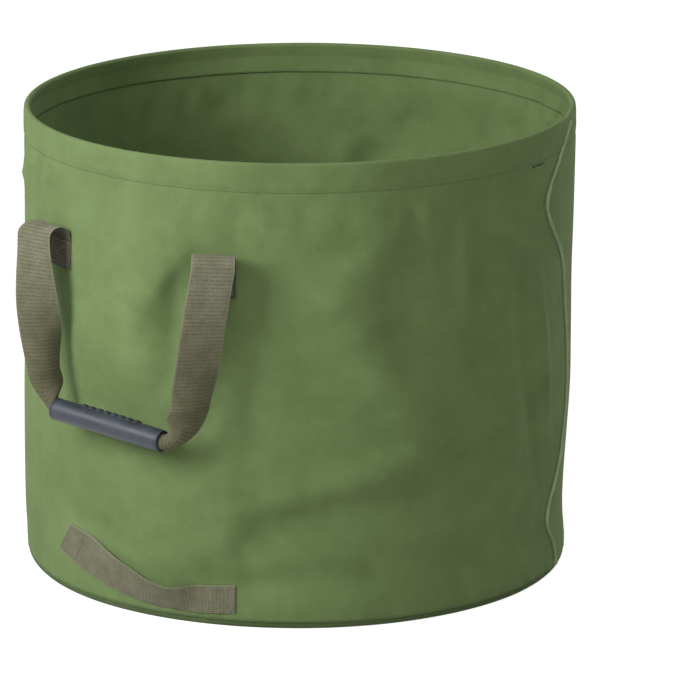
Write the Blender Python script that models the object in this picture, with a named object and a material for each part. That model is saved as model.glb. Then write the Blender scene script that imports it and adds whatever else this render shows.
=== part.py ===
"""Round garden leaf bag with a hooped rim, two carry handles and a low grab strap.

Metres, +Z up. The bag stands on z = 0 with its axis on Z. The front handle faces -Y and the
rear handle +Y. Angles round the bag run from -Y towards +X, and "out" is the distance from
the bag's axis, measured square to a handle's chord.
"""
import math

import bmesh
import bpy
from mathutils import Vector

# Fit between touching pieces
TOUCH_GAP = 0.0003

# Bag body
BAG_HEIGHT = 0.550
BASE_RADIUS = 0.3314
RIM_RADIUS = 0.3273
CANVAS = 0.0008
ROUND_STEPS = 80
CORNER_STEPS = 4

# Rim hoop of spring wire, and the sleeve that joins its ends
HOOP_WIRE = 0.0032
HOOP_END_GAP = 0.002
HOOP_ANGLE = 60.0
JOINER_WALL = 0.0004
JOINER_LENGTH = 0.030
WIRE_SIDES = 8
JOINER_SIDES = 12
JOINER_STATIONS = 7

# Hem folded in over the hoop
HEM_DEPTH = 0.038
HEM_EASE = 0.0003
HEM_POCKET_DROP = 0.012
HEM_STITCH_RISE = 0.004
HEM_CURL_STEPS = 6

# Side seam, a lap of the wall panel's two ends
SEAM_ANGLE = 106.0
SEAM_LAP = 0.012
LAP_RAMP = 0.026
LAP_STEPS = 4

# Base panel, its turned-up margin and the tape over the margin's raw edge
WALL_FOOT = 0.008
BASE_CORNER = 0.005
BASE_MARGIN = 0.014
TAPE_WIDTH = 0.020
TAPE_THICKNESS = 0.0006
BASE_STITCH_RISE = 0.0025

# Sewing thread, drawn as a flat run of stitches
THREAD_WIDTH = 0.0010
THREAD_THICKNESS = 0.0006
STITCH_INSET = 0.004
BAR_TACK_LENGTH = 0.026
BAR_TACK_WIDTH = 0.0025
BAR_TACK_SIDE_STEP = 0.0665

# Carry handles of folded webbing
WEBBING_WIDTH = 0.050
WEBBING_THICKNESS = 0.0016
WIDTH_SPANS = 4
TAB_ANGLE = 20.5
TAB_DROP = 0.121
TAB_LENGTH = 0.036
FOLD_RISE = 0.002
FOLD_RADIUS = 0.014
FOLD_STEPS = 8
HINGE_LEAD = 0.004

# Each arm hangs as in the photo. These are the angles that its fold reaches out along and
# that its webbing faces at its top and foot, and where its foot is from the grip's end.
LEFT_ARM = {
    "reach_out": -23.0,
    "top_facing": -2.0,
    "foot_facing": 10.0,
    "foot_side": 0.0125,
    "foot_rise": 0.030,
}
RIGHT_ARM = {
    "reach_out": 33.0,
    "top_facing": 30.0,
    "foot_facing": 32.0,
    "foot_side": 0.042,
    "foot_rise": 0.042,
}
ARM_STEPS = 6
THROAT_STEPS = 6
THROAT_ROUND = 0.8
THROAT_PINCH = 1.5

# Grip, a moulded tube with finger bumps, round the folded core of the strap
GRIP_LENGTH = 0.160
GRIP_DIAMETER = 0.026
GRIP_BORE = 0.020
GRIP_EDGE = 0.0015
GRIP_SIDES = 28
GRIP_DROP = 0.213
GRIP_WALL_GAP = 0.0147
GRIP_SHIFT = -0.004
GRIP_SLOPE = 3.9
CORE_CLEARANCE = 0.0008
CORE_THICKNESS = 0.005
BUMP_COUNT = 8
BUMP_PITCH = 0.011
BUMP_LENGTH = 0.0080
BUMP_WIDTH = 0.0110
BUMP_HEIGHT = 0.0016
BUMP_ROOT = 0.0008
BUMP_TILT = 20.0

# Low grab strap, hanging slack between its sewn ends. Each row of its route gives the angle
# round the bag, the rise of its lower edge over the base stitching, its tilt and its lean:
# tilt turns the row's top towards +angle, and lean tips its top edge off the wall.
LOWER_WIDTH = 0.038
LOWER_THICKNESS = 0.0014
LOWER_ROUTE = [
    (-19.2, 0.0402, 28.0, 0.0),
    (-16.0, 0.0346, 24.0, 0.0),
    (-13.0, 0.0288, 21.0, 0.0),
    (-9.0, 0.0218, 17.0, 3.0),
    (-4.5, 0.0157, 16.0, 6.0),
    (1.0, 0.0081, 14.0, 10.0),
    (6.0, 0.0032, 9.0, 16.0),
    (10.5, 0.0015, 3.0, 20.0),
    (14.0, 0.0020, -3.0, 15.0),
    (16.2, 0.0030, -4.0, 7.0),
    (18.3, 0.0035, -1.0, 0.0),
    (21.0, 0.0040, 0.0, 0.0),
    (24.2, 0.0040, 0.0, 0.0),
]
LOWER_LEFT_SEWN = -13.0
LOWER_LEFT_FREE = -9.0
LOWER_RIGHT_FREE = 14.0
LOWER_RIGHT_SEWN = 18.3
LOWER_STRAP_ROWS = 14
LOWER_FOLD_ROWS = 5

# Finishes: colour, roughness, metallic
CANVAS_FINISH = ((0.20, 0.33, 0.14, 1.0), 0.85, 0.0)
WEBBING_FINISH = ((0.20, 0.19, 0.14, 1.0), 0.90, 0.0)
GRIP_FINISH = ((0.09, 0.10, 0.12, 1.0), 0.45, 0.0)
STEEL_FINISH = ((0.55, 0.56, 0.57, 1.0), 0.35, 1.0)
THREAD_FINISH = ((0.22, 0.30, 0.16, 1.0), 0.75, 0.0)
TAPE_FINISH = ((0.16, 0.24, 0.12, 1.0), 0.85, 0.0)


def clear_scene():
    for item in list(bpy.data.objects):
        bpy.data.objects.remove(item, do_unlink=True)


def make_material(name, finish):
    colour, roughness, metallic = finish
    material = bpy.data.materials.new(name)
    material.use_nodes = True
    shader = material.node_tree.nodes["Principled BSDF"]
    shader.inputs["Base Color"].default_value = colour
    shader.inputs["Roughness"].default_value = roughness
    shader.inputs["Metallic"].default_value = metallic
    return material


def add_object(name, vertices, faces, finish, parent=None, origin=Vector((0, 0, 0))):
    """Make one closed mesh, with its points given from the parent and its origin where asked."""
    mesh = bpy.data.meshes.new(name)
    mesh.from_pydata([Vector(v) - origin for v in vertices], [], faces)
    shell = bmesh.new()
    shell.from_mesh(mesh)
    bmesh.ops.recalc_face_normals(shell, faces=shell.faces)
    shell.to_mesh(mesh)
    shell.free()
    mesh.materials.append(make_material(name, finish))
    mesh.shade_smooth()
    mesh.set_sharp_from_angle(angle=math.radians(35))
    item = bpy.data.objects.new(name, mesh)
    item.location = origin
    item.parent = parent
    bpy.context.collection.objects.link(item)
    return item


def add_mount(name, turn):
    """Empty on the bag's axis that turns a whole handle round it."""
    empty = bpy.data.objects.new(name, None)
    empty.rotation_euler = (0, 0, math.radians(turn))
    bpy.context.collection.objects.link(empty)
    return empty


def wall_radius(height):
    """Radius of the wall's outer face at a height."""
    return BASE_RADIUS + (RIM_RADIUS - BASE_RADIUS) * height / BAG_HEIGHT


def round_point(radius, angle, height):
    turn = math.radians(angle)
    return Vector((radius * math.sin(turn), -radius * math.cos(turn), height))


def arc_degrees(length, radius):
    return math.degrees(length / radius)


def spread(start, end, count):
    """Evenly spaced values from start to end."""
    return [start + (end - start) * k / (count - 1) for k in range(count)]


def smooth_step(share):
    share = min(max(share, 0.0), 1.0)
    return share * share * (3 - 2 * share)


def loft(rings, closed_along):
    """Join equal rings of points into one closed body, capped where it isn't closed."""
    count = len(rings[0])
    vertices = [point for ring in rings for point in ring]
    faces = []
    steps = len(rings) if closed_along else len(rings) - 1
    for step in range(steps):
        here = step * count
        there = (step + 1) % len(rings) * count
        for k in range(count):
            n = (k + 1) % count
            faces.append((here + k, here + n, there + n, there + k))
    if not closed_along:
        faces.append(tuple(range(count)))
        faces.append(tuple(range((len(rings) - 1) * count, len(rings) * count)))
    return vertices, faces


def grid_slab(back, front):
    """Close two equal grids of points into one slab."""
    rows = len(back)
    columns = len(back[0])
    vertices = [point for row in back for point in row] + [point for row in front for point in row]
    size = rows * columns
    faces = []
    for r in range(rows - 1):
        for c in range(columns - 1):
            a = r * columns + c
            quad = (a, a + 1, a + columns + 1, a + columns)
            faces.append(quad)
            faces.append(tuple(k + size for k in quad))
    border = [c for c in range(columns)]
    border += [r * columns + columns - 1 for r in range(1, rows)]
    border += [(rows - 1) * columns + c for c in range(columns - 2, -1, -1)]
    border += [r * columns for r in range(rows - 2, 0, -1)]
    for k, a in enumerate(border):
        b = border[(k + 1) % len(border)]
        faces.append((a, b, b + size, a + size))
    return vertices, faces


def band_outline(path, thickness, spread=0.0):
    """Closed outline of a sheet along a path of (radius, height) points.

    Spread moves the whole sheet sideways, to the left of its direction of travel.
    """
    normals = []
    for k, point in enumerate(path):
        before = Vector(path[max(k - 1, 0)])
        after = Vector(path[min(k + 1, len(path) - 1)])
        here = Vector(point)
        turns = []
        for a, b in ((before, here), (here, after)):
            if (b - a).length > 1e-9:
                step = (b - a).normalized()
                turns.append(Vector((-step.y, step.x)))
        mean = sum(turns, Vector((0, 0))).normalized()
        normals.append(mean / max(mean.dot(turns[0]), 0.5))
    left = [Vector(p) + n * (spread + thickness / 2) for p, n in zip(path, normals)]
    right = [Vector(p) + n * (spread - thickness / 2) for p, n in zip(path, normals)]
    return left + right[::-1]


def lathe(outline, steps):
    """Turn a closed outline of (radius, height) points about the bag's axis."""
    rings = []
    for step in range(steps):
        angle = 360.0 * step / steps
        rings.append([round_point(p[0], angle, p[1]) for p in outline])
    return loft(rings, closed_along=True)


def lap_step():
    """How far the wall panel's outer end stands off its inner end."""
    return CANVAS + TOUCH_GAP


def lap_degrees():
    return arc_degrees(SEAM_LAP, BASE_RADIUS)


def lap_lift(angle):
    """Rise of the wall's outer face over its plain radius at an angle round the bag."""
    ramp = arc_degrees(LAP_RAMP, BASE_RADIUS)
    edge = arc_degrees(THREAD_WIDTH, BASE_RADIUS)
    past = (angle - SEAM_ANGLE + 180.0) % 360.0 - 180.0
    if past < 0:
        return lap_step() * smooth_step((past + ramp) / ramp)
    if past <= lap_degrees() + edge:
        return lap_step()
    return lap_step() * max(0.0, 1.0 - (past - lap_degrees() - edge) / edge)


def hem_pocket_radius():
    """Half the clear width of the hem's channel, which the joiner fits."""
    return HOOP_WIRE / 2 + JOINER_WALL + 2 * TOUCH_GAP + HEM_EASE


def hoop_height():
    return BAG_HEIGHT - CANVAS - hem_pocket_radius()


def hoop_radius():
    return wall_radius(hoop_height()) - CANVAS - hem_pocket_radius()


def wall_path():
    """Middle line of the wall canvas, from the hem's inner edge over the rim to the foot."""
    pocket = hem_pocket_radius() + CANVAS / 2
    flap_drop = CANVAS * 1.5 + TOUCH_GAP
    hem_end = BAG_HEIGHT - HEM_DEPTH
    knee = hoop_height() - HEM_POCKET_DROP
    path = [
        (wall_radius(hem_end) - flap_drop, hem_end),
        (wall_radius(knee) - flap_drop, knee),
        (hoop_radius() - pocket, hoop_height() - pocket),
    ]
    for step in range(HEM_CURL_STEPS + 1):
        turn = math.pi * (1 - step / HEM_CURL_STEPS)
        path.append((hoop_radius() + pocket * math.cos(turn), hoop_height() + pocket * math.sin(turn)))
    path.append((wall_radius(WALL_FOOT) - CANVAS / 2, WALL_FOOT))
    return path


def build_wall_panel():
    ramp_start = 360.0 - arc_degrees(LAP_RAMP, BASE_RADIUS)
    angles = [ramp_start * step / ROUND_STEPS for step in range(ROUND_STEPS + 1)]
    angles += [ramp_start + (360.0 - ramp_start) * s / LAP_STEPS for s in range(1, LAP_STEPS + 1)]
    angles.append(360.0 + lap_degrees())
    path = wall_path()
    rings = []
    for angle in angles:
        share = (angle - ramp_start) / (360.0 - ramp_start)
        spread = lap_step() * smooth_step(share)
        outline = band_outline(path, CANVAS, spread)
        rings.append([round_point(p.x, SEAM_ANGLE + angle, p.y) for p in outline])
    vertices, faces = loft(rings, closed_along=False)
    add_object("wall_panel", vertices, faces, CANVAS_FINISH)


def margin_radius(height):
    """Middle of the base margin, just inside the wall."""
    return wall_radius(height) - 1.5 * CANVAS - TOUCH_GAP


def build_base_panel():
    outer = margin_radius(0) + CANVAS / 2
    top = WALL_FOOT + BASE_MARGIN
    middle = BASE_CORNER - CANVAS / 2
    path = [(margin_radius(top), top), (margin_radius(BASE_CORNER), BASE_CORNER)]
    for step in range(1, CORNER_STEPS + 1):
        turn = math.radians(90.0 * step / CORNER_STEPS)
        across = outer - BASE_CORNER + middle * math.cos(turn)
        path.append((across, BASE_CORNER - middle * math.sin(turn)))
    outline = band_outline(path, CANVAS)
    half = len(path)
    steps = ROUND_STEPS
    rings = [[round_point(p.x, 360.0 * s / steps, p.y) for p in outline] for s in range(steps)]
    vertices = [point for ring in rings for point in ring]
    count = len(outline)
    faces = []
    for s in range(steps):
        here = s * count
        there = (s + 1) % steps * count
        for k in range(count):
            n = (k + 1) % count
            if (k, n) != (half - 1, half):
                faces.append((here + k, here + n, there + n, there + k))
    faces.append(tuple(s * count + half - 1 for s in range(steps)))
    faces.append(tuple(s * count + half for s in range(steps)))
    add_object("base_panel", vertices, faces, CANVAS_FINISH)


def build_base_tape():
    """Flat tape that covers the raw edge of the base margin on the inside."""
    middle = WALL_FOOT + BASE_MARGIN
    low = middle - TAPE_WIDTH / 2
    high = middle + TAPE_WIDTH / 2
    inset = 2 * CANVAS + 2 * TOUCH_GAP + TAPE_THICKNESS / 2
    path = [(wall_radius(low) - inset, low), (wall_radius(high) - inset, high)]
    vertices, faces = lathe(band_outline(path, TAPE_THICKNESS), ROUND_STEPS)
    add_object("base_tape", vertices, faces, TAPE_FINISH)


def build_rim_hoop():
    gap = arc_degrees(HOOP_END_GAP, hoop_radius())
    rings = []
    for step in range(ROUND_STEPS + 1):
        angle = HOOP_ANGLE + gap / 2 + (360.0 - gap) * step / ROUND_STEPS
        rings.append(wire_ring(angle, HOOP_WIRE / 2, WIRE_SIDES))
    vertices, faces = loft(rings, closed_along=False)
    add_object("rim_hoop", vertices, faces, STEEL_FINISH)


def wire_ring(angle, radius, sides):
    """Round section of the hoop at an angle round the bag."""
    ring = []
    for side in range(sides):
        turn = 2 * math.pi * (side + 0.5) / sides
        across = hoop_radius() + radius * math.cos(turn)
        ring.append(round_point(across, angle, hoop_height() + radius * math.sin(turn)))
    return ring


def build_hoop_joiner():
    """Crimped sleeve over the hoop's two ends."""
    reach = arc_degrees(JOINER_LENGTH / 2, hoop_radius())
    sides = JOINER_SIDES
    inner = HOOP_WIRE / 2 + TOUCH_GAP
    outer = inner + JOINER_WALL
    stations = JOINER_STATIONS
    angles = [HOOP_ANGLE + reach * (2 * s / (stations - 1) - 1) for s in range(stations)]
    vertices = []
    for radius in (inner, outer):
        for angle in angles:
            vertices += wire_ring(angle, radius, sides)
    shell = stations * sides
    faces = []
    for layer in (0, shell):
        for s in range(stations - 1):
            for k in range(sides):
                n = (k + 1) % sides
                a = layer + s * sides
                faces.append((a + k, a + n, a + sides + n, a + sides + k))
    for end in (0, (stations - 1) * sides):
        for k in range(sides):
            n = (k + 1) % sides
            faces.append((end + k, end + n, shell + end + n, shell + end + k))
    add_object("hoop_joiner", vertices, faces, STEEL_FINISH)


def thread_loop(name, centres, normals, parent=None, finish=THREAD_FINISH):
    """A closed run of stitches that lies on a surface with the given outward normals."""
    rings = []
    for k, centre in enumerate(centres):
        normal = normals[k].normalized()
        into = (centre - centres[k - 1]).normalized()
        onward = (centres[(k + 1) % len(centres)] - centre).normalized()
        side = (into + onward).cross(normal).normalized()
        reach = THREAD_WIDTH / 2 / max(side.dot(into.cross(normal).normalized()), 0.5)
        low = centre
        high = centre + normal * THREAD_THICKNESS
        rings.append([low - side * reach, low + side * reach, high + side * reach, high - side * reach])
    vertices, faces = loft(rings, closed_along=True)
    add_object(name, vertices, faces, finish, parent)


def build_ring_stitching(name, height):
    """Row of stitches round the outside of the wall, stepping over the side seam."""
    edge = arc_degrees(THREAD_WIDTH, BASE_RADIUS)
    lap_end = SEAM_ANGLE + lap_degrees()
    ramp = arc_degrees(LAP_RAMP, BASE_RADIUS)
    angles = [SEAM_ANGLE - ramp * (1 - s / LAP_STEPS) for s in range(LAP_STEPS)]
    angles += [SEAM_ANGLE, lap_end + edge, lap_end + 2 * edge]
    rest = 360.0 - (angles[-1] - angles[0])
    angles += [angles[-1] + rest * s / ROUND_STEPS for s in range(1, ROUND_STEPS)]
    centres = []
    normals = []
    for angle in angles:
        radius = wall_radius(height) + TOUCH_GAP + lap_lift(angle)
        centres.append(round_point(radius, angle, height))
        normals.append(round_point(1.0, angle, 0.0))
    thread_loop(name, centres, normals)


def hem_stitch_height():
    return BAG_HEIGHT - HEM_DEPTH + HEM_STITCH_RISE


def base_stitch_height():
    return WALL_FOOT + BASE_STITCH_RISE


def build_side_seam_stitching():
    """Two rows up the lap, joined at their ends."""
    inset = arc_degrees(THREAD_WIDTH * 2, BASE_RADIUS)
    sides = (SEAM_ANGLE + inset, SEAM_ANGLE + lap_degrees() - inset)
    low = base_stitch_height() + STITCH_INSET
    high = hem_stitch_height() - STITCH_INSET
    corners = ((sides[0], low), (sides[1], low), (sides[1], high), (sides[0], high))
    centres = []
    normals = []
    for angle, height in corners:
        radius = wall_radius(height) + lap_step() + TOUCH_GAP
        centres.append(round_point(radius, angle, height))
        normals.append(round_point(1.0, angle, 0.0))
    thread_loop("side_seam_stitching", centres, normals)


def build_hem_bar_tack():
    """Short dense bar that closes the hem where the hoop goes in."""
    height = hem_stitch_height() - THREAD_WIDTH - BAR_TACK_WIDTH
    reach = arc_degrees(BAR_TACK_LENGTH / 2, BASE_RADIUS)
    middle = SEAM_ANGLE - arc_degrees(BAR_TACK_SIDE_STEP, BASE_RADIUS)
    angles = spread(middle - reach, middle + reach, WIDTH_SPANS + 1)
    back = []
    front = []
    for rise in (-BAR_TACK_WIDTH / 2, BAR_TACK_WIDTH / 2):
        inner = wall_radius(height + rise) + TOUCH_GAP
        lifts = [lap_lift(angle) for angle in angles]
        back.append([round_point(inner + u, a, height + rise) for a, u in zip(angles, lifts)])
        outer = inner + THREAD_THICKNESS
        front.append([round_point(outer + u, a, height + rise) for a, u in zip(angles, lifts)])
    vertices, faces = grid_slab(back, front)
    add_object("hem_bar_tack", vertices, faces, THREAD_FINISH)


def handle_point(across, out, height):
    """Point in a handle's own frame: along its chord, out from the bag's axis, and up."""
    return Vector((across, -out, height))


def facing_side(facing):
    """Level width direction of webbing whose face looks along an angle round the bag."""
    turn = math.radians(facing)
    return handle_point(math.cos(turn), -math.sin(turn), 0.0)


def facing_normal(facing):
    turn = math.radians(facing)
    return handle_point(math.sin(turn), math.cos(turn), 0.0)


def tab_centre():
    """Middle line of a left tab's webbing at its top, as (across, out)."""
    radius = wall_radius(tab_top()) + TOUCH_GAP + WEBBING_THICKNESS / 2
    turn = math.radians(-TAB_ANGLE)
    return radius * math.sin(turn), radius * math.cos(turn)


def tab_top():
    return BAG_HEIGHT - TAB_DROP


def crown_height():
    """Height of the fold's crown, where the handle hinges."""
    return tab_top() + FOLD_RISE + FOLD_RADIUS


def hinge_out():
    return tab_centre()[1] + FOLD_RADIUS + HINGE_LEAD


def grip_height():
    return crown_height() - GRIP_DROP


def grip_out():
    return wall_radius(grip_height()) + GRIP_WALL_GAP + GRIP_DIAMETER / 2


def ribbon(rows):
    """Slab of webbing through rows of (centre, side, width, normal, thickness)."""
    back = []
    front = []
    for centre, side, width, normal, thickness in rows:
        line = [centre + side * width * (share - 0.5) for share in (0.0, 0.5, 1.0)]
        back.append([p - normal * thickness / 2 for p in line])
        front.append([p + normal * thickness / 2 for p in line])
    return grid_slab(back, front)


def build_tab(name, angle, parent):
    """Webbing end sewn flat to the wall, and the box of stitches that holds it."""
    reach = arc_degrees(WEBBING_WIDTH / 2, BASE_RADIUS)
    angles = spread(angle - reach, angle + reach, WIDTH_SPANS + 1)
    back = []
    front = []
    for height in (tab_top() - TAB_LENGTH, tab_top()):
        inner = wall_radius(height) + TOUCH_GAP
        back.append([round_point(inner, a, height) for a in angles])
        front.append([round_point(inner + WEBBING_THICKNESS, a, height) for a in angles])
    vertices, faces = grid_slab(back, front)
    add_object(name, vertices, faces, WEBBING_FINISH, parent)
    inset = arc_degrees(STITCH_INSET, BASE_RADIUS)
    low = tab_top() - TAB_LENGTH + STITCH_INSET
    high = tab_top() - STITCH_INSET
    run = spread(angle - reach + inset, angle + reach - inset, WIDTH_SPANS + 1)
    centres = []
    normals = []
    for a, height in [(a, low) for a in run] + [(a, high) for a in run[::-1]]:
        radius = wall_radius(height) + 2 * TOUCH_GAP + WEBBING_THICKNESS
        centres.append(round_point(radius, a, height))
        normals.append(round_point(1.0, a, 0.0))
    thread_loop(name + "_stitching", centres, normals, parent)


def fold_rows(hand, arm):
    """Rows of the webbing's bend over the tab; hand is -1 on the left and 1 on the right."""
    across, out = tab_centre()
    centre = handle_point(hand * -across, out, tab_top() + TOUCH_GAP)
    facing = hand * TAB_ANGLE
    rows = [(centre, facing_side(facing), WEBBING_WIDTH, facing_normal(facing), WEBBING_THICKNESS)]
    base = handle_point(hand * -across, out, tab_top() + FOLD_RISE)
    for step in range(FOLD_STEPS + 1):
        turn = math.pi * step / FOLD_STEPS
        share = (1 - math.cos(turn)) / 2
        facing = hand * TAB_ANGLE + (arm["top_facing"] - hand * TAB_ANGLE) * share
        centre = base + facing_normal(arm["reach_out"]) * 2 * FOLD_RADIUS * share
        centre += Vector((0, 0, FOLD_RADIUS * math.sin(turn)))
        normal = facing_normal(facing) * math.cos(turn) - Vector((0, 0, 1)) * math.sin(turn)
        rows.append((centre, facing_side(facing), WEBBING_WIDTH, normal, WEBBING_THICKNESS))
    return rows


def build_fold(name, hand, arm, parent):
    vertices, faces = ribbon(fold_rows(hand, arm))
    add_object(name, vertices, faces, WEBBING_FINISH, parent, hinge_origin())


def core_width():
    """Widest fold of the strap that still turns inside the grip's bore."""
    room = GRIP_BORE / 2 - CORE_CLEARANCE
    return 2 * math.sqrt(room * room - CORE_THICKNESS * CORE_THICKNESS / 4)


def arm_rows(hand, arm):
    """Rows of one arm from the fold down, through its throat, to the grip's end."""
    top = fold_rows(hand, arm)[-1][0] - Vector((0, 0, TOUCH_GAP))
    grip_end = grip_origin() + grip_axis() * hand * GRIP_LENGTH / 2
    foot = grip_end + Vector((hand * arm["foot_side"], 0, arm["foot_rise"]))
    rows = []
    for step in range(ARM_STEPS + 1):
        share = step / ARM_STEPS
        facing = arm["top_facing"] + (arm["foot_facing"] - arm["top_facing"]) * share
        rows.append(strap_row(top.lerp(foot, share), facing, 0.0, WEBBING_WIDTH, WEBBING_THICKNESS))
    bend = grip_end + grip_axis() * hand * arm["foot_side"] * THROAT_ROUND
    for step in range(1, THROAT_STEPS + 1):
        share = step / THROAT_STEPS
        spot = foot.lerp(bend, share).lerp(bend.lerp(grip_end, share), share)
        narrow = min(1.0, THROAT_PINCH * share)
        width = WEBBING_WIDTH + (core_width() - WEBBING_WIDTH) * smooth_step(narrow)
        thickness = WEBBING_THICKNESS + (CORE_THICKNESS - WEBBING_THICKNESS) * narrow
        facing = arm["foot_facing"] * (1 - share)
        turn = (90.0 + hand * GRIP_SLOPE) * smooth_step(share)
        rows.append(strap_row(spot, facing, turn, width, thickness))
    return rows


def grip_origin():
    return handle_point(GRIP_SHIFT, grip_out(), grip_height())


def grip_axis():
    """Direction of the grip, whose right end hangs lower."""
    slope = math.radians(GRIP_SLOPE)
    return Vector((math.cos(slope), 0, -math.sin(slope)))


def strap_row(centre, facing, turn, width, thickness):
    """One row of the left arm; turn runs from 0 in the arm to 90 in the grip."""
    roll = math.radians(turn)
    side = facing_side(facing) * math.cos(roll) + Vector((0, 0, 1)) * math.sin(roll)
    return centre, side, width, facing_normal(facing), thickness


def mirrored_turn(row):
    """The same row of the right arm, whose width direction runs the other way."""
    centre, side, width, normal, thickness = row
    return centre, Vector((-side.x, -side.y, side.z)), width, normal, thickness


def build_strap(name, parent):
    """Both arms and the folded core between them, in one piece."""
    left = arm_rows(-1, LEFT_ARM)
    right = [mirrored_turn(row) for row in arm_rows(1, RIGHT_ARM)]
    vertices, faces = ribbon(left + right[::-1])
    add_object(name, vertices, faces, WEBBING_FINISH, parent, hinge_origin())


def hinge_origin():
    return handle_point(0.0, hinge_out(), crown_height())


def build_grip(name, parent):
    """Moulded tube with a row of finger bumps along its upper back."""
    origin = grip_origin()
    half = GRIP_LENGTH / 2
    outer = GRIP_DIAMETER / 2
    bore = GRIP_BORE / 2
    outline = [
        (-half, bore),
        (-half, outer - GRIP_EDGE),
        (-half + GRIP_EDGE / 3, outer - GRIP_EDGE / 3),
        (-half + GRIP_EDGE, outer),
        (half - GRIP_EDGE, outer),
        (half - GRIP_EDGE / 3, outer - GRIP_EDGE / 3),
        (half, outer - GRIP_EDGE),
        (half, bore),
    ]
    rings = []
    for side in range(GRIP_SIDES):
        turn = 2 * math.pi * side / GRIP_SIDES
        rings.append([(x, r * math.cos(turn), r * math.sin(turn)) for x, r in outline])
    vertices, faces = loft(rings, closed_along=True)
    grip = add_object(name, [Vector(v) + origin for v in vertices], faces, GRIP_FINISH, parent, origin)
    grip.rotation_euler = (0, math.radians(GRIP_SLOPE), 0)
    tilt = math.radians(BUMP_TILT)
    lift = outer + (BUMP_HEIGHT - BUMP_ROOT) / 2
    size = Vector((BUMP_LENGTH, BUMP_WIDTH, BUMP_HEIGHT + BUMP_ROOT))
    for number in range(BUMP_COUNT):
        across = (number - (BUMP_COUNT - 1) / 2) * BUMP_PITCH
        centre = Vector((across, lift * math.sin(tilt), lift * math.cos(tilt)))
        bump = pebble(name + "_bump_guide", centre, size, -tilt, grip)
        union = grip.modifiers.new("bump", "BOOLEAN")
        union.operation = "UNION"
        union.object = bump


def pebble(name, centre, size, lean, parent):
    """Rounded lump that a Boolean adds to its piece."""
    shape = bmesh.new()
    bmesh.ops.create_uvsphere(shape, u_segments=10, v_segments=6, radius=0.5)
    bmesh.ops.scale(shape, vec=size, verts=shape.verts)
    mesh = bpy.data.meshes.new(name)
    shape.to_mesh(mesh)
    shape.free()
    item = bpy.data.objects.new(name, mesh)
    item.location = centre
    item.rotation_euler = (lean, 0, 0)
    item.parent = parent
    item.hide_render = True
    item.display_type = "WIRE"
    bpy.context.collection.objects.link(item)
    return item


def build_handle(side, turn):
    """One carry handle, turned to face its side of the bag."""
    mount = add_mount(side + "_handle_mount", turn)
    for hand, word, arm in ((-1, "left", LEFT_ARM), (1, "right", RIGHT_ARM)):
        build_tab(side + "_tab_" + word, hand * TAB_ANGLE, mount)
        build_fold(side + "_fold_" + word, hand, arm, mount)
    build_strap(side + "_strap", mount)
    build_grip(side + "_grip", mount)


def lower_place(angle):
    """Height of the grab strap's middle, its tilt and its lean at an angle round the bag."""
    rise, tilt, lean = LOWER_ROUTE[-1][1:]
    for before, after in zip(LOWER_ROUTE, LOWER_ROUTE[1:]):
        if before[0] <= angle <= after[0]:
            share = (angle - before[0]) / (after[0] - before[0])
            rise, tilt, lean = [a + (b - a) * share for a, b in zip(before[1:], after[1:])]
    edge = base_stitch_height() + THREAD_WIDTH / 2 + rise
    return edge + LOWER_WIDTH / 2 * math.cos(math.radians(tilt)), tilt, lean


def lower_row(angle):
    """Row of the free strap, its lower edge against the wall and its top edge tipped out."""
    height, tilt, lean = lower_place(angle)
    tip = math.radians(tilt)
    lift = math.radians(lean)
    along = round_point(1.0, angle + 90.0, 0.0)
    outward = round_point(1.0, angle, 0.0)
    upright = Vector((0, 0, 1)) * math.cos(lift) + outward * math.sin(lift)
    side = along * math.sin(tip) + upright * math.cos(tip)
    normal = along.cross(side).normalized()
    stand = TOUCH_GAP + LOWER_THICKNESS / 2 + LOWER_WIDTH / 2 * math.sin(lift)
    centre = round_point(wall_radius(height) + stand, angle, height)
    return centre, side, LOWER_WIDTH, normal, LOWER_THICKNESS


def build_lower_run(name, start, end, count, origin=Vector((0, 0, 0))):
    rows = [lower_row(angle) for angle in spread(start, end, count)]
    vertices, faces = ribbon(rows)
    add_object(name, vertices, faces, WEBBING_FINISH, None, origin)


def sewn_point(angle, share, lift):
    """Point of a sewn end, at a share of the width from its middle and a height off the wall."""
    height, tilt, _ = lower_place(angle)
    tip = math.radians(tilt)
    step = arc_degrees(LOWER_WIDTH * share * math.sin(tip), BASE_RADIUS)
    rise = height + LOWER_WIDTH * share * math.cos(tip)
    return round_point(wall_radius(rise) + lift, angle + step, rise)


def build_lower_tab(name, start, end):
    """Sewn end of the grab strap, curved to the wall, and its box of stitches."""
    angles = spread(start, end, WIDTH_SPANS + 1)
    shares = spread(-0.5, 0.5, WIDTH_SPANS + 1)
    outer = TOUCH_GAP + LOWER_THICKNESS
    back = [[sewn_point(a, share, TOUCH_GAP) for share in shares] for a in angles]
    front = [[sewn_point(a, share, outer) for share in shares] for a in angles]
    vertices, faces = grid_slab(back, front)
    add_object(name, vertices, faces, WEBBING_FINISH)
    inset = arc_degrees(STITCH_INSET, BASE_RADIUS)
    edge = 0.5 - STITCH_INSET / LOWER_WIDTH
    run = spread(start + inset, end - inset, WIDTH_SPANS)
    rise = spread(-edge, edge, WIDTH_SPANS)
    route = [(a, -edge) for a in run] + [(run[-1], share) for share in rise[1:-1]]
    route += [(a, edge) for a in run[::-1]] + [(run[0], share) for share in rise[-2:0:-1]]
    centres = [sewn_point(a, share, outer + TOUCH_GAP) for a, share in route]
    normals = [round_point(1.0, a, 0.0) for a, _ in route]
    thread_loop(name + "_stitching", centres, normals)


def lower_pivot(angle):
    """Upper corner of the free strap's end, where it swings."""
    centre, side, width, _, _ = lower_row(angle)
    return centre + side * width / 2


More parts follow.
